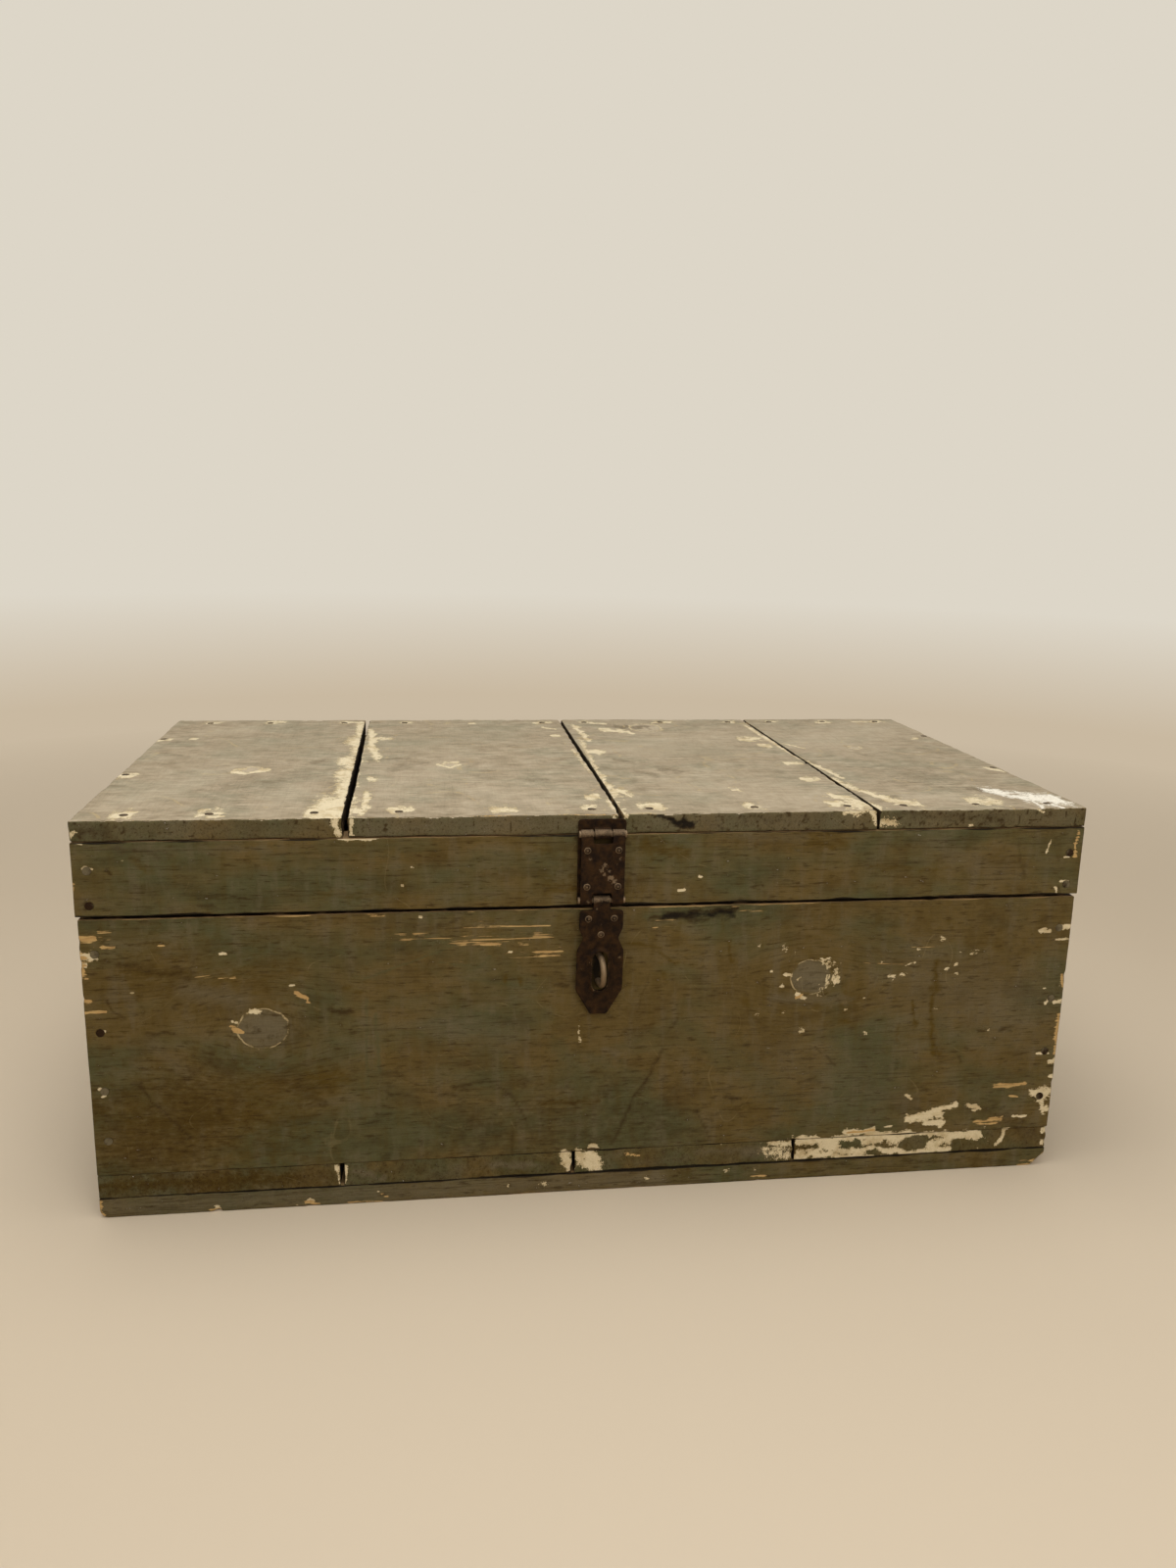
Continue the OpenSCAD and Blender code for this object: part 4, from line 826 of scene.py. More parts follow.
STRIP_MARKS = {"chip": [
    (-256, 42, 4, -20, 1, 0.5), (-246, 41, -1, -18, 1, 0.5), (-34, 42, 4, -14, 5.5),
    (-19, 38, 16, -12, 7.4), (-10, 38, 10, -14, 6), (172, 34, 21, -6, 4.6, 0.32),
    (204, 42, 41, 0, 3.7), (207, 25, 36, 1, 5.5), (232, 36, 10, -1, 6), (246, 23, 39, -3, 2.3),
    (259, 28, 26, 2, 2.8), (263, 44, 21, 2, 4.6), (243, 31, 31, -5, 3.7), (276, 38, 39, 3, 4.1),
    (293, 28, 27, -5, 3.7), (322, 23, 48, 1, 2.8), (348, 28, 21, 10, 5.5), (390, 37, 11, -1, 4.1),
], "bare": [
    (28, 38, 12, -2, 1.8), (257, 48, 27, 1, 1.6),
], "pale": [
    (-238, 35, 26, -9, 3.7, 0.9), (-105, 34, 41, -4, 5.5, 0.9), (99, 37, 51, -1, 4.6, 0.5),
    (39, 27, 55, 2, 4.6, 0.3),
], "dark": [
    (-475, 32, 111, 0, 6, 0.45), (-336, 33, 4, 0, 1.8, 0.6), (-129, 43, 0, -14, 0.9),
    (-198, 36, 71, -13, 4.6, 0.3), (200, 43, 2, -21, 0.9),
]}
RUNNER_MARKS = {"bare": [
    (-476, 16, 5, -13, 3.2, 0.9), (-375, 2, 8, -1, 1.8), (-285, 4, 14, -2, 2.1),
    (-212, 9, 5, -2, 2.1, 0.7), (-245, 2, 33, -1, 1.2, 0.7), (159, 6, 13, -2, 1.8, 0.7),
    (448, 2, 25, 5, 2.3, 0.7),
], "chip": [
    (-216, 12, 1, 0, 1.2), (-90, 14, 1, -4, 1.4, 0.7), (-59, 11, 7, -2, 1.6, 0.3),
    (48, 11, 2, -1, 1.5, 0.3), (130, 13, 3, -2, 1.5, 0.3), (161, 12, 2, 0, 1.2, 0.4),
], "dark": [
    (-429, 10, 1, 0, 1.4), (-324, 6, 5, -2, 3.2, 0.4), (200, 9, 44, -1, 3.2, 0.5),
    (323, 12, 108, -3, 3.2, 0.4),
]}
TOP_MARKS = {"white": [
    (408, -166, 23, -35, 4.6), (431, -201, 33, -11, 7), (434, -223, -4, -21, 2),
    (446, -232, 6, -12, 1.5),
], "chip": [
    (-246, 222, 3, -76, 5.3), (-250, 112, 7, 0, 8.8), (-242, 80, 1, -30, 6.2),
    (-254, -2, 13, 0, 7.9), (-252, -69, 10, 0, 7.9), (-247, -117, 5, 0, 7.9),
    (-249, -147, 8, -18, 7), (-259, -196, 17, -1, 9.8), (-264, -222, 22, -2, 10.5),
    (-272, -228, 6, -1, 4.4), (-244, -255, 4, 0, 6.2), (-232, 187, 9, -148, 4.1),
    (-224, 129, 18, 0, 2.7), (-229, 80, 11, -64, 4.8), (-223, -88, 4, -3, 3.1),
    (-223, -151, 0, -60, 3.4), (-232, -220, 9, -5, 3.4), (-476, 124, 15, 4, 2),
    (-440, 132, 8, 0, 1.7), (-476, -65, 16, 0, 2.7), (-442, -227, 15, 2, 4.1),
    (-368, -226, 17, 2, 4.4), (-199, -219, 19, -1, 3.4), (-108, 230, 7, 5, 1.7),
    (-25, 234, 6, 0, 1.4), (-10, 145, 9, 2, 2.4), (25, 44, 12, 0, 3.1), (-10, -179, 10, 3, 3.1),
    (-18, -218, 9, 0, 3.7), (-366, -51, 17, -7, 2), (-349, -58, 19, 18, 2),
    (-365, -39, 13, 3, 1, 0.8), (-154, -20, 14, -18, 1.4, 0.8), (-140, -38, 13, 17, 1.4, 0.8),
    (-146, -9, 16, -1, 1, 0.7), (-266, 243, 22, -3, 1.4), (-364, 249, 23, -3, 1.4, 0.8),
    (-105, -224, 20, 2, 3.4, 0.8), (26, 213, 5, -62, 4.1), (30, 144, 1, -32, 3.1),
    (-16, 201, 16, -13, 1.4, 0.7), (18, -99, 0, -75, 4.1), (22, -147, 11, -19, 2.7),
    (11, -203, 3, -27, 5.4), (14, -241, 0, -22, 4.1), (22, 42, 16, -3, 3.1),
    (50, 231, 20, -6, 1.4), (58, 187, 35, -20, 3.4), (133, 232, 26, 5, 1.7),
    (222, 117, 25, -1, 3.7), (236, 74, 12, -3, 2.7), (142, -153, 7, -2, 2),
    (36, -218, 20, -1, 3.7), (138, -219, 14, -2, 3.4), (230, -110, 18, 1, 2.4),
    (255, 209, 1, -79, 3, 0.8), (256, 130, 5, -130, 3, 0.8), (267, -31, 9, -67, 3.4),
    (236, -26, 20, -4, 2), (275, -163, 6, -24, 3.1), (225, -213, 32, -9, 4.8),
    (238, -184, 16, -16, 3.7), (260, -215, 6, -17, 4.8), (286, -199, 26, -21, 4.4),
    (370, -213, 25, -1, 4.8, 0.7), (459, -60, 12, -15, 2), (445, 112, 10, 7, 1.7),
    (359, 232, 18, -3, 1.4), (411, 239, 37, -6, 1.4), (266, 89, 21, -34, 1.4, 0.6),
    (-246, 140, 2, -100, 5.5, 0.55), (-245, -20, 1, -120, 6, 0.6), (262, -110, 10, -50, 4, 0.7),
    (22, 110, -6, -200, 2.6, 0.45), (6, 60, 3, -120, 2.4, 0.4),
], "pale": [
    (-439, -181, 49, 118, 20.4, 0.35), (-207, -134, 69, 132, 20.4, 0.3),
    (-311, -200, 26, 69, 17, 0.3), (-437, 172, 63, 23, 10.2, 0.4), (-121, -138, 71, -62, 17, 0.35),
    (92, -116, 115, -52, 20.4, 0.3), (310, -188, 88, -19, 8.1, 0.6),
    (158, -210, 80, 26, 10.2, 0.5),
], "dark": [
    (-204, -45, 39, 35, 4.8, 0.5), (-228, 1, 44, 14, 3.1, 0.6), (-61, -96, 21, -6, 3.1, 0.6),
    (-289, -6, 14, 9, 3.1, 0.5), (-484, -242, 6, 120, 10.2, 0.3), (-369, -127, 78, 60, 13.6, 0.25),
    (44, 2, 20, -20, 3.1, 0.7), (85, -56, 21, -9, 4.1, 0.8), (58, -55, 20, -35, 3.1, 0.5),
    (80, 202, 42, -1, 4.1), (392, -161, 21, -8, 4.1, 0.9), (263, -25, 11, -2, 2.4),
    (340, 22, 12, -4, 2.7, 0.6), (350, -92, 32, -19, 13.6, 0.35),
], "green": [
    (-383, 84, 101, 18, 20.4, 0.4), (-225, 80, 170, 85, 20.4, 0.5), (71, 94, 110, -46, 20.4, 0.5),
    (8, -202, 85, 10, 13.6, 0.4),
]}
# Wide stains on the front, soiling round the knots and the lid's edge, and round the
# staple a rust stain with painted shadow behind the hasp's plate
FRONT_STAINS = {
    "ochre": [(-430, 95, 100, 10, 70, 0.55), (-420, 245, 120, -10, 40, 0.25)],
    # The rows at x -5 lie round the staple behind the hasp's plate: a rust stain, and painted
    # shadow
    "dark": [(-440, 60, 60, 50, 60, 0.3), (-120, 70, 180, 5, 60, 0.2), (-5, 224, 0, 28, 13, 1.6)],
    "grime": [(-5, 229, 0, 20, 8.5, 0.6), (58, 286, 64, 3, 6, 0.42)],
    "pale": [(330, 210, 100, -30, 60, 0.35), (190, 130, 70, -20, 40, 0.2),
             (-318, 187, 0, 0, 22), (207, 220, 0, 0, 19)],
}
# Marks for faces that the photograph doesn't show: count, length, half width and strength
PLAIN_WEAR = {"dark": (26, 26, 4.5, 0.6), "green": (9, 60, 14, 0.5), "pale": (9, 60, 14, 0.45),
              "ochre": (8, 30, 5, 0.6), "chip": (7, 7, 1.8, 0.8), "bare": (7, 10, 1.8, 0.8),
              "scrape": (6, 50, 5, 0.7)}
LOW_WEAR = {"dark": (6, 50, 8, 0.5), "chip": (6, 30, 2.8, 0.5), "bare": (6, 16, 2, 0.5)}
SPECKS = {"chip": (26, 3, 1.3, 0.5)}
# How chalky each top board's front end is
TOP_END_HAZE = (0.3, 0.6, 0.55, 0.5)
# Bites out of a top board's right edge: place, half length and size. Its neighbour's match
BITES = ([(-235, 12, 5), (-160, 60, 3.6), (-60, 45, 3), (60, 50, 3.4), (165, 40, 3),
          *((y, 6, 2.6 + 1.6 * math.sin(1.7 * y) ** 2) for y in range(-222, 215, 15))],
         [(-236, 14, 4), (-120, 50, 2.6), (-30, 18, 3.4), (110, 40, 2.6)],
         [(-238, 8, 3.5), (-205, 20, 2.6), (-27, 6, 4), (-110, 40, 2.2)], [])


# Operators

class TRUNK_OT_box_boards(bpy.types.Operator):
    """Front, back and end boards of the box"""
    bl_idname = "trunk.box_boards"
    bl_label = "Box boards"

    def execute(self, context):
        wood = context.scene.trunk_wood
        cell, fine, coarse = (s / MM for s in (wood.cell, wood.fine_cell, wood.coarse_cell))
        front = Board("front_board", "x", 3, (cell, EDGE_CELL, cell), {"+y": 5}, (30, 120),
                      [(x, None, z, "-y") for x, z in SIDE_NAILS],
                      {"x": [(-476, -400, fine), (280, 476, fine), (160, 240, 1.8)],
                       "z": [(44, 108, fine), (245, 297, 1.7), (165, 245, 1.8)]})
        front.paint("-y-x+x")
        front.knots((-318.5, 186.7, 20), (207.1, 220.1, 18))
        front.mark("-y", FRONT_MARKS, FRONT_STAINS, scatter(53, (150, 400, 150, 262), SPECKS),
                   {"chip": ring(*RIGHT_KNOT, 20, 1.6, 0.05, -60, 60)})
        front.rub(("bare", 1.4, 0.35, "-y+z"), ("chip", 1.1, -0.35, "-y-z"),
                  ("bare", 1.3, -0.1, "-y+x"), ("bare", 1.0, -0.5, "-y-x"),
                  ("grime", 7, -0.5, "+y-z +y-x +y+x"), ("grime", 1.2, 0.15, "-y-z"))
        # Near-black on the top face inside the lid's seam: painted shade, so the seam reads dark
        front.between(["+z"], FRONT_Y + 5.5, 3.2)
        front.wear({"-y-z": [(-30, 6, 3), (-6, 8, 3.5), (200, 8, 2.6), (268, 10, 2.6)],
                    "-y+x": [(205, 14, 2.6), (150, 16, 3), (90, 10, 2.4)],
                    "-y-x": [(255, 6, 2.6), (276, 4, 2.4), (222, 5, 2.2)]})
        front.finish("box")
        back = Board("back_board", "x", 5, (coarse, EDGE_CELL, coarse), {"-y": 4}, (-40, 90),
                     [(x, None, z, "+y") for x, z in SIDE_NAILS])
        back.paint("+y-x+x")
        back.knots((120, 150, 14), (-260, 210, 11))
        back.mark("+y", scatter(51, (*LONG, *SIDE_Z), PLAIN_WEAR),
                  scatter(52, (*LONG, 44, 60), LOW_WEAR))
        back.rub(("bare", 1.6, -0.1, "+y-z +y+x +y-x"), ("grime", 1.2, 0.2, "+y-z"),
                 ("grime", 7, -0.5, "-y-z -y-x -y+x"))
        back.finish("box")
        for node, seed, out, inner in (("left_end_board", 7, "-x", "+x"),
                                       ("right_end_board", 9, "+x", "-x")):
            end = Board(node, "y", seed, (EDGE_CELL, coarse, coarse), {inner: 4}, (20, 80))
            end.paint(out)
            end.knots((seed * 20 - 210, 200 - seed * 4, 12))
            end.mark(out, scatter(seed + 50, (*DEEP, *SIDE_Z), PLAIN_WEAR),
                     scatter(seed + 60, (*DEEP, 44, 62), LOW_WEAR))
            end.rub(("bare", 1.6, -0.3, out + "-z"), ("grime", 1.2, 0.2, out + "-z"),
                    ("grime", 7, -0.5, inner + "-z"))
            end.finish("box")
        return {"FINISHED"}


class TRUNK_OT_bottom_boards(bpy.types.Operator):
    """Bottom boards, whose painted ends show below the box"""
    bl_idname = "trunk.bottom_boards"
    bl_label = "Bottom boards"

    def execute(self, context):
        for i, outer in enumerate(OUTER):
            pits = [(FLOOR_NAIL_X[i], y, None, "-z") for y in FLOOR_NAIL_Y if outer]
            board = Board("bottom_board_%d" % (i + 1), "y", 11 + i, (1.8, 7, 2),
                          {"+z": 5, "-z": 4}, (-30 + 25 * i, 60 + 20 * i), pits,
                          {"z": [(20, 44, 1.6)]})
            low, high = board.low[0], board.high[0]
            board.paint("-y+y" + outer)
            board.mark("-y", STRIP_MARKS,
                       {kind: FRONT_MARKS[kind] for kind in ("chip", "bare", "dark", "pale")},
                       {"dark": [(low, 30, high - low, 0, 22, 0.1 if i else 0.4)],
                        "ochre": [(-476, 33, 176, -2, 11, 0.8)],
                        "pale": [(150, 33, 42, -2, 9, 0.9)]})
            board.mark("+y", scatter(70 + i, (low, high, 22, 42), LOW_WEAR))
            if outer:
                board.mark(outer, scatter(76 + i, (-240, 255, 22, 42), LOW_WEAR))
            board.rub(("bare", 1.2, -0.4, "-y+z +y+z"), ("grime", 1.1, 0.15, "-y+z +y+z"),
                      ("grime", 1.4, 1.1, "-y-z +y-z"))
            # Dark on the faces of the gaps between bottom boards near the front: painted shade,
            # and soiling
            board.between([side for side in ("-x", "+x") if side != outer], FRONT_Y, 30)
            board.wear({"-y+x": [(24, 10, 2.6), (40, 6, 3)], "-y-x": [(28, 8, 2.2)]})
            board.finish("box")
        return {"FINISHED"}


class TRUNK_OT_runners(bpy.types.Operator):
    """Two runners under the box"""
    bl_idname = "trunk.runners"
    bl_label = "Runners"

    def execute(self, context):
        for node, seed, side, nail_y, *broken in (("front_runner", 21, "-y", -211.75, 16, 14),
                                                  ("back_runner", 23, "+y", 227.25, 5, 5)):
            board = Board(node, "x", seed, (1.9, 4, 1.8), {"+z": 5}, (5, 50),
                          [(x, nail_y, None, "-z") for x in RUNNER_NAIL_X])
            board.paint(side + "-x+x")
            if side == "-y":
                board.mark(side, RUNNER_MARKS, {"pale": [(-470, 10, 530, 0, 18, 0.6)]})
                board.wear({"-y-z": [(-368, 5, 3), (-278, 9, 3.5), (-210, 4, 2.5), (-60, 6, 2.2),
                                     (166, 5, 2.2)]})
            else:
                board.mark(side, scatter(88, (*LONG, 2, 18), LOW_WEAR))
            board.rub(("bare", 1.4, 0.0, side + "-z -x-z +x-z"),
                      ("bare", 1.4, -0.2, side + "-x " + side + "+x"),
                      ("bare", 1.2, -0.5, side + "+z"), ("grime", 1.3, 1.0, side + "+z"))
            board.finish("box", shape=partial(self.feet, board, *broken))
        return {"FINISHED"}

    def feet(self, board, length, height, points):
        """Rounds the left foot, and breaks the right one over that length and height."""
        from_left = np.clip(10 - (points[:, 0] - board.low[0]), 0, 10)
        round_foot = 10 - np.sqrt(np.maximum(100 - from_left ** 2, 0))
        from_right = np.clip(points[:, 0] - (board.high[0] - length), 0, length)
        ragged = 1 + 0.3 * (1 + noise(points * [0.3, 1, 1], 4, board.seed)) * (from_right > 0)
        foot = np.maximum(round_foot, from_right * height / length * ragged)
        points[:, 2] = np.maximum(points[:, 2], np.minimum(foot, board.high[2] - 2))
        return points


class TRUNK_OT_top_boards(bpy.types.Operator):
    """The lid's four top boards"""
    bl_idname = "trunk.top_boards"
    bl_label = "Top boards"

    def execute(self, context):
        for i, outer in enumerate(OUTER):
            pits = [(x, y, None, "+z") for x in TOP_NAILS[i] for y in TOP_NAIL_Y]
            pits += [(TOP_END_NAIL_X[i], y, None, "+z") for y in TOP_END_NAIL_Y if outer]
            board = Board("top_board_%d" % (i + 1), "y", 31 + i, (2.0, 2.2, 1.8), {"-z": 4},
                          (-20 + 18 * i, 70 + 15 * i), pits, {"y": [(-245, -200, 1.6)]}, 2.3)
            low, high = board.low[0], board.high[0]
            along, across, radius = TOP_KNOTS[i]
            inner = [side for side in ("-x", "+x") if side != outer]
            board.paint("+z-y+y" + outer)
            board.knots(TOP_KNOTS[i])
            board.mark("+z", TOP_MARKS, tall=3.5)
            board.mark("+z", {
                "pale": [(310, 100, 120, 90, 90, 0.5), (70, 60, 130, 90, 60, 0.35)],
                "chip": [(x, TOP_NAIL_Y[1], 5, 0, 7, 0.7) for x in TOP_NAILS[i]]
                + ring(across, along, radius + 1, 1.6, 0.35, squash=1.3)})
            board.mark("-y", TOP_EDGE_MARKS, {
                "grime": [(48, 386, 14, -5, 2.6, 0.55), (62, 381, 20, -4, 4, 0.6)],
                "pale": [(low + 20, 379, high - low - 40, 0, 34, TOP_END_HAZE[i])]})
            board.mark("+y", scatter(90 + i, (low, high, 371, 387), LOW_WEAR))
            board.rub(("chip", 1.6, -0.25, " ".join(side + "+z" for side in inner)),
                      ("bare", 1.3, -0.2, " ".join(s + "+z" for s in ("-y", "+y", outer) if s)),
                      ("grime", 1.0, 0.5, "-y-z +y-z"))
            # Dark on the faces of the gaps between the top boards: painted shade, and soiling
            board.between(inner, 0, 400)
            board.end_grain("-y")
            board.wear({"+x+z": BITES[i], "-y+z": [(low + 30, 16, 2.2), (high - 26, 12, 2.4)],
                        "-x+z": [(y + 15, half * 0.8, size * 0.7)
                                 for y, half, size in BITES[i - 1]]})
            mesh = board.finish("lid", "scuffed_oil_paint_on_pine")
            # Upward faces take the lighter top coat: scuffed, and painted light from above. The
            # ends and sides keep the darker coat of the rails under them
            mesh.materials.append(material_for("brushed_oil_paint_on_pine"))
            up = np.zeros(len(mesh.polygons) * 3, np.float32)
            mesh.polygons.foreach_get("normal", up)
            mesh.polygons.foreach_set("material_index", (up[2::3] < 0.6).astype(np.int32))
        return {"FINISHED"}


class TRUNK_OT_rails(bpy.types.Operator):
    """Rails round the lid"""
    bl_idname = "trunk.rails"
    bl_label = "Lid rails"

    def execute(self, context):
        for node, seed, out, inner in (("lid_front_rail", 41, "-y", "+y"),
                                       ("lid_back_rail", 43, "+y", "-y")):
            rail = Board(node, "x", seed, (1.9, 4, 1.7), {inner: 4}, (10, 70),
                         [(x, None, z, out) for x, z in RAIL_NAILS])
            rail.paint(out + "-x+x-z")
            if out == "-y":
                # Dark behind the hasp's link and leaf: a rust stain, and painted shadow of the
                # hasp
                rail.mark(out, RAIL_MARKS,
                          {"dark": [(-18, 362, 26, 0, 14, 1.6), (-18, 320, 26, 0, 20, 0.6)]})
                rail.rub(("bare", 1.0, -0.35, "-y-x -y+x"))
            else:
                rail.mark(out, scatter(95, (*LONG, *RAIL_Z), PLAIN_WEAR))
                rail.rub(("bare", 1.4, -0.2, "+y-z +y-x +y+x"))
            # Dark along the rail's top and bottom edges, at the joint with the top boards and in
            # the lid's seam: soiling and painted shade
            rail.rub(("grime", 1.2, 0.9, out + "+z"), ("grime", 1.5, 0.7, out + "-z"))
            rail.finish("lid")
        for node, seed, out, inner in (("lid_left_rail", 45, "-x", "+x"),
                                       ("lid_right_rail", 47, "+x", "-x")):
            rail = Board(node, "y", seed, (4, 2.4, 2.2), {inner: 4}, (-8, 50))
            rail.paint(out + "-z")
            rail.mark(out, scatter(seed + 52, (*DEEP, *RAIL_Z), PLAIN_WEAR))
            rail.rub(("bare", 1.4, -0.3, out + "-z"))
            rail.finish("lid")
        return {"FINISHED"}


class TRUNK_OT_nails(bpy.types.Operator):
    """Nails, whose heads show in their holes"""
    bl_idname = "trunk.nails"
    bl_label = "Nails"

    def execute(self, context):
        dress("corner_nails lid_corner_nails", "painted_wire_nail")
        dress("bottom_nails runner_nails top_nails", "rusted_sheet_iron")
        return {"FINISHED"}


class TRUNK_OT_hasp(bpy.types.Operator):
    """Hasp: fixed leaf, link, slotted plate, rivets, pins and screws"""
    bl_idname = "trunk.hasp"
    bl_label = "Hasp"

    def execute(self, context):
        for node, body in (("hasp_fixed_leaf", "lid"), ("hasp_link", "hasp_link"),
                           ("hasp_plate", "hasp_plate")):
            worn_copy(node, body, "rusted_sheet_iron", self.wear)
        dress("hasp_upper_pin hasp_lower_pin", "worn_wire_iron")
        dress("hasp_screws link_rivets plate_rivets", "hammered_rivet_iron")
        return {"FINISHED"}

    def wear(self, points):
        """Pale on the outer and upper side of the rolled knuckles, rubbed bare and with a painted
        highlight from above, and in spots on the face and a thin ring round the slot, rubbed iron
        and painted glints; with grooves round the plate's slot and between the knuckles."""
        x, y, z = points.T
        worn = np.zeros(len(points))
        for pin_z in HASP_PINS_Z:
            away = np.hypot(y - HASP_PIN_Y, z - pin_z)
            facing = (HASP_PIN_Y - y + z - pin_z) / np.maximum(away, 0.1)
            # The knuckles' side that faces front and up: rubbed, and painted highlight from above
            rolled = np.where(away < KNUCKLE_R + 0.3, np.clip(facing * 0.45, 0, 1), 0)
            worn = np.maximum(worn, rolled)
        from_middle = np.abs(x - HASP_X)
        worn[(z < HASP_PINS_Z[0] - 20) & (from_middle > KNUCKLE_JOINT)] *= 0.25
        ragged = 0.8 * noise(points, 1.7, 61, 2)
        for spot_x, spot_z, radius, strength in HASP_SPOTS:
            away = np.hypot(x - spot_x, z - spot_z) / radius
            worn = np.maximum(worn, strength * np.clip(1.4 - away + ragged, 0, 1))
        away = np.hypot(from_middle, z - np.clip(z, SLOT_LOW, SLOT_HIGH))
        rim = np.clip(1 - np.abs(away - 11) / 2, 0, 1) * (from_middle < 19) * (z < 275)
        # Thin pale ring at the slot's edge: painted glint on the rim, and rubbing
        worn = np.maximum(worn, 0.25 * np.clip(1 - np.abs(away - 8) / 1.5, 0, 1) * (z < 275))
        joint = np.clip(1 - np.abs(from_middle - KNUCKLE_JOINT) / 0.9, 0, 1)
        joint *= np.min([np.abs(z - pin_z) for pin_z in HASP_PINS_Z], axis=0) < KNUCKLE_R + 1
        return worn * (1 - joint), 0.7 * rim + 0.5 * joint


class TRUNK_OT_staple(bpy.types.Operator):
    """Staple that the hasp closes over"""
    bl_idname = "trunk.staple"
    bl_label = "Staple"

    def execute(self, context):
        worn_copy("staple", "box", "worn_wire_iron",
                  lambda points: (0.25 + 0.3 * noise(points, 5, 62, 2), 0))
        return {"FINISHED"}


class TRUNK_OT_hinges(bpy.types.Operator):
    """Back hinges: leaves, pins and screws"""
    bl_idname = "trunk.hinges"
    bl_label = "Back hinges"

    def execute(self, context):
        for side in ("left", "right"):
            for leaf, body in (("body", "box"), ("lid", "lid")):
                worn_copy("%s_hinge_%s_leaf" % (side, leaf), body, "rusted_sheet_iron",
                          lambda points: (0.1 + 0.2 * noise(points, 6, 63, 2), 0))
        dress("left_hinge_pin right_hinge_pin hinge_body_screws hinge_lid_screws",
              "worn_wire_iron")
        return {"FINISHED"}


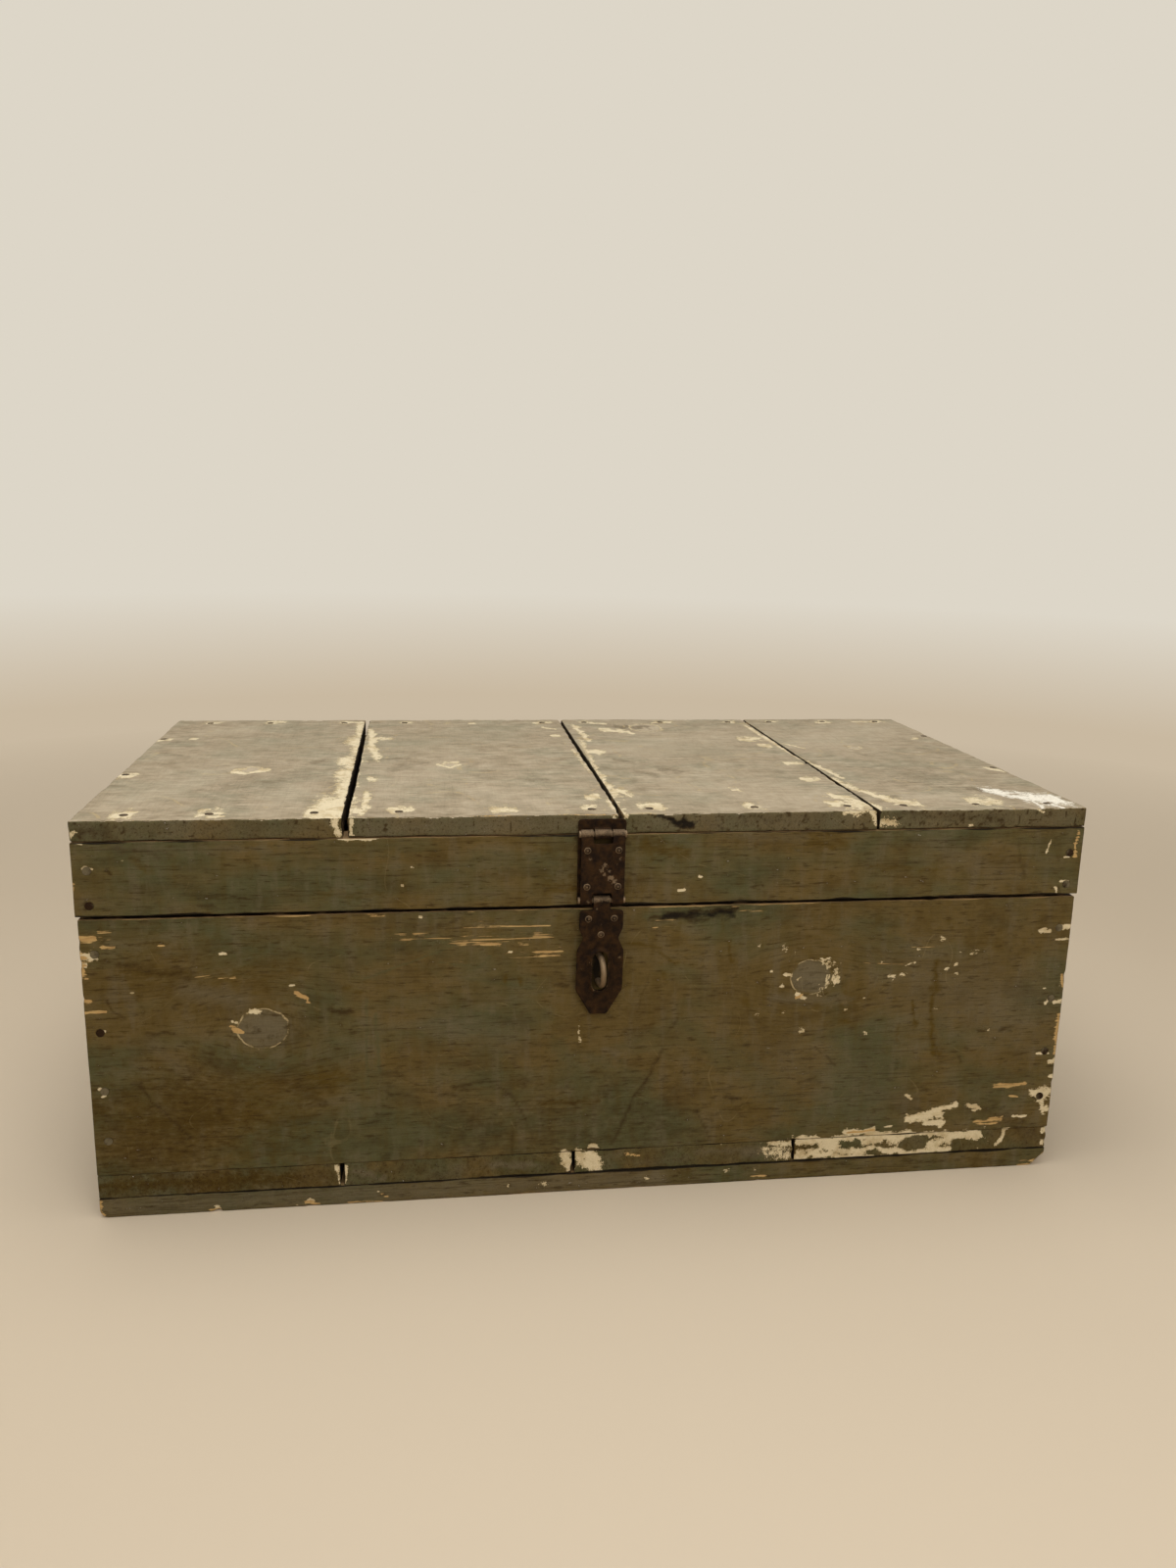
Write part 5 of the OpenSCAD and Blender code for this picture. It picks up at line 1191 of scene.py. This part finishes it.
class TRUNK_OT_stage(bpy.types.Operator):
    """Pale floor and wall, soft lights and the camera"""
    bl_idname = "trunk.stage"
    bl_label = "Stage"

    def execute(self, context):
        scene, stage = context.scene, context.scene.trunk_stage
        self.sweep(stage)
        self.light("Overhead softbox", stage.key, 1.6, (-0.3, -0.3, 2.3))
        self.light("Camera softbox", stage.fill, 1.4, (0.25, -1.85, 1.3))
        scene.world = bpy.data.worlds.new("Soft sky")
        scene.world.use_nodes = True
        scene.world.node_tree.nodes.clear()
        add = partial(add_node, scene.world.node_tree)
        sky = add("Background", {"Color": linear("#FFFFFF"), "Strength": stage.sky})
        add("OutputWorld", {"Surface": sky})
        self.camera(scene)
        scene.view_settings.view_transform = "Standard"
        return {"FINISHED"}

    def sweep(self, stage):
        """Floor and wall in one sheet, turned round the middle."""
        bend, steps, turns = 0.45, 12, 96
        profile = [(0.0, 0.0), (0.6, 0.0)] + [
            (stage.radius - bend + bend * math.sin(a), bend - bend * math.cos(a))
            for a in np.linspace(0, math.pi / 2, steps)] + [(stage.radius, stage.height)]
        n, points, faces = len(profile), [], []
        for i in range(turns):
            a, j = 2 * math.pi * i / turns, (i + 1) % turns
            points += [(r * math.cos(a), r * math.sin(a), z) for r, z in profile]
            faces += [(i * n + k, j * n + k, j * n + k + 1, i * n + k + 1) for k in range(n - 1)]
        mesh = bpy.data.meshes.new("Floor and wall")
        mesh.from_pydata(points, [], faces)
        mesh.polygons.foreach_set("use_smooth", [True] * len(faces))
        mesh.materials.append(self.backdrop(stage))
        floor = bpy.data.objects.new("floor_and_wall", mesh)
        bpy.context.scene.collection.objects.link(floor)

    def backdrop(self, stage):
        """Matt painted floor and wall. Far from the trunk they show their own even colour to
        the camera and in reflections, so there is no dark band."""
        material, add = new_material("plain_painted_backdrop")
        place = add("TexCoord", out=3)
        rise = add("MapRange", add("SeparateXYZ", place, out=2), 0.02, 0.35)
        colour = add("Mix", {0: rise, 6: stage.floor, 7: stage.wall}, out=2, data_type="RGBA")
        shader = add("BsdfPrincipled", {"Base Color": colour, "Roughness": 0.8})
        flat = add("VectorMath", place, (1, 1, 0), operation="MULTIPLY")
        away = add("VectorMath", flat, out=1, operation="LENGTH")
        far = add("MapRange", away, 1.1, 2.5)
        camera, glossy, through = (add("LightPath", out="Is %s Ray" % ray)
                                   for ray in ("Camera", "Glossy", "Transmission"))
        seen = add("Math", camera, glossy, operation="ADD")
        seen = add("Math", seen, through, operation="ADD", use_clamp=True)
        share = add("Math", far, seen, operation="MULTIPLY")
        even = add("Emission", {"Color": colour, "Strength": 1.0})
        add("OutputMaterial", {"Surface": add("MixShader", share, shader, even)})
        return material

    def light(self, name, power, size, place):
        """A square softbox turned to the trunk's middle."""
        data = bpy.data.lights.new(name, "AREA")
        data.energy, data.size = power, size
        lamp = bpy.data.objects.new(name, data)
        bpy.context.scene.collection.objects.link(lamp)
        turn = (Vector(place) - Vector((0, 0, 0.2))).to_track_quat("Z", "Y").to_matrix()
        lamp.matrix_world = Matrix.Translation(place) @ turn.to_4x4()

    def camera(self, scene):
        """The photograph's viewpoint, solved from the trunk's corners."""
        yaw, pitch, roll = (math.radians(a) for a in (-8.183, 12.989, 1.295))
        place = (-0.1711, -1.30165, 0.6637)
        right = np.array([math.cos(yaw), math.sin(yaw), 0])
        ahead = np.array([-math.sin(yaw) * math.cos(pitch), math.cos(yaw) * math.cos(pitch),
                          -math.sin(pitch)])
        up = np.cross(right, ahead)
        x = right * math.cos(roll) + up * math.sin(roll)
        y = up * math.cos(roll) - right * math.sin(roll)
        data = bpy.data.cameras.new("Camera")
        data.lens, data.sensor_width = 27.41, 36
        scene.camera = bpy.data.objects.new("Camera", data)
        scene.collection.objects.link(scene.camera)
        rows = [(x[i], y[i], -ahead[i], place[i]) for i in range(3)]
        scene.camera.matrix_world = Matrix(rows + [(0, 0, 0, 1)])


class TRUNK_PT_panel(bpy.types.Panel):
    """Lists the trunk's pieces and their sizes and colours"""
    bl_idname = "TRUNK_PT_panel"
    bl_label = "Painted trunk"
    bl_space_type = "VIEW_3D"
    bl_region_type = "UI"
    bl_category = "Trunk"

    def draw(self, context):
        for name, group in GROUPS.items():
            box = self.layout.box()
            box.label(text=name.split("_")[1].title())
            for key in group.__annotations__:
                box.prop(getattr(context.scene, name), key)
        for operator in OPERATORS:
            self.layout.operator(operator.bl_idname)


GROUPS = {"trunk_wood": TrunkWood, "trunk_paint": TrunkPaint, "trunk_iron": TrunkIron,
          "trunk_stage": TrunkStage}
OPERATORS = (TRUNK_OT_box_boards, TRUNK_OT_bottom_boards, TRUNK_OT_runners, TRUNK_OT_top_boards,
             TRUNK_OT_rails, TRUNK_OT_nails, TRUNK_OT_hasp, TRUNK_OT_staple, TRUNK_OT_hinges,
             TRUNK_OT_stage)
CLASSES = (*GROUPS.values(), *OPERATORS, TRUNK_PT_panel)


def register():
    for item in CLASSES:
        bpy.utils.register_class(item)
    for name, group in GROUPS.items():
        setattr(bpy.types.Scene, name, bpy.props.PointerProperty(type=group))


def unregister():
    for name in GROUPS:
        delattr(bpy.types.Scene, name)
    for item in reversed(CLASSES):
        bpy.utils.unregister_class(item)


def main():
    register()
    bpy.ops.trunk.box_boards()
    bpy.ops.trunk.bottom_boards()
    bpy.ops.trunk.runners()
    bpy.ops.trunk.top_boards()
    bpy.ops.trunk.rails()
    bpy.ops.trunk.nails()
    bpy.ops.trunk.hasp()
    bpy.ops.trunk.staple()
    bpy.ops.trunk.hinges()
    bpy.ops.trunk.stage()


if __name__ == "__main__":
    main()
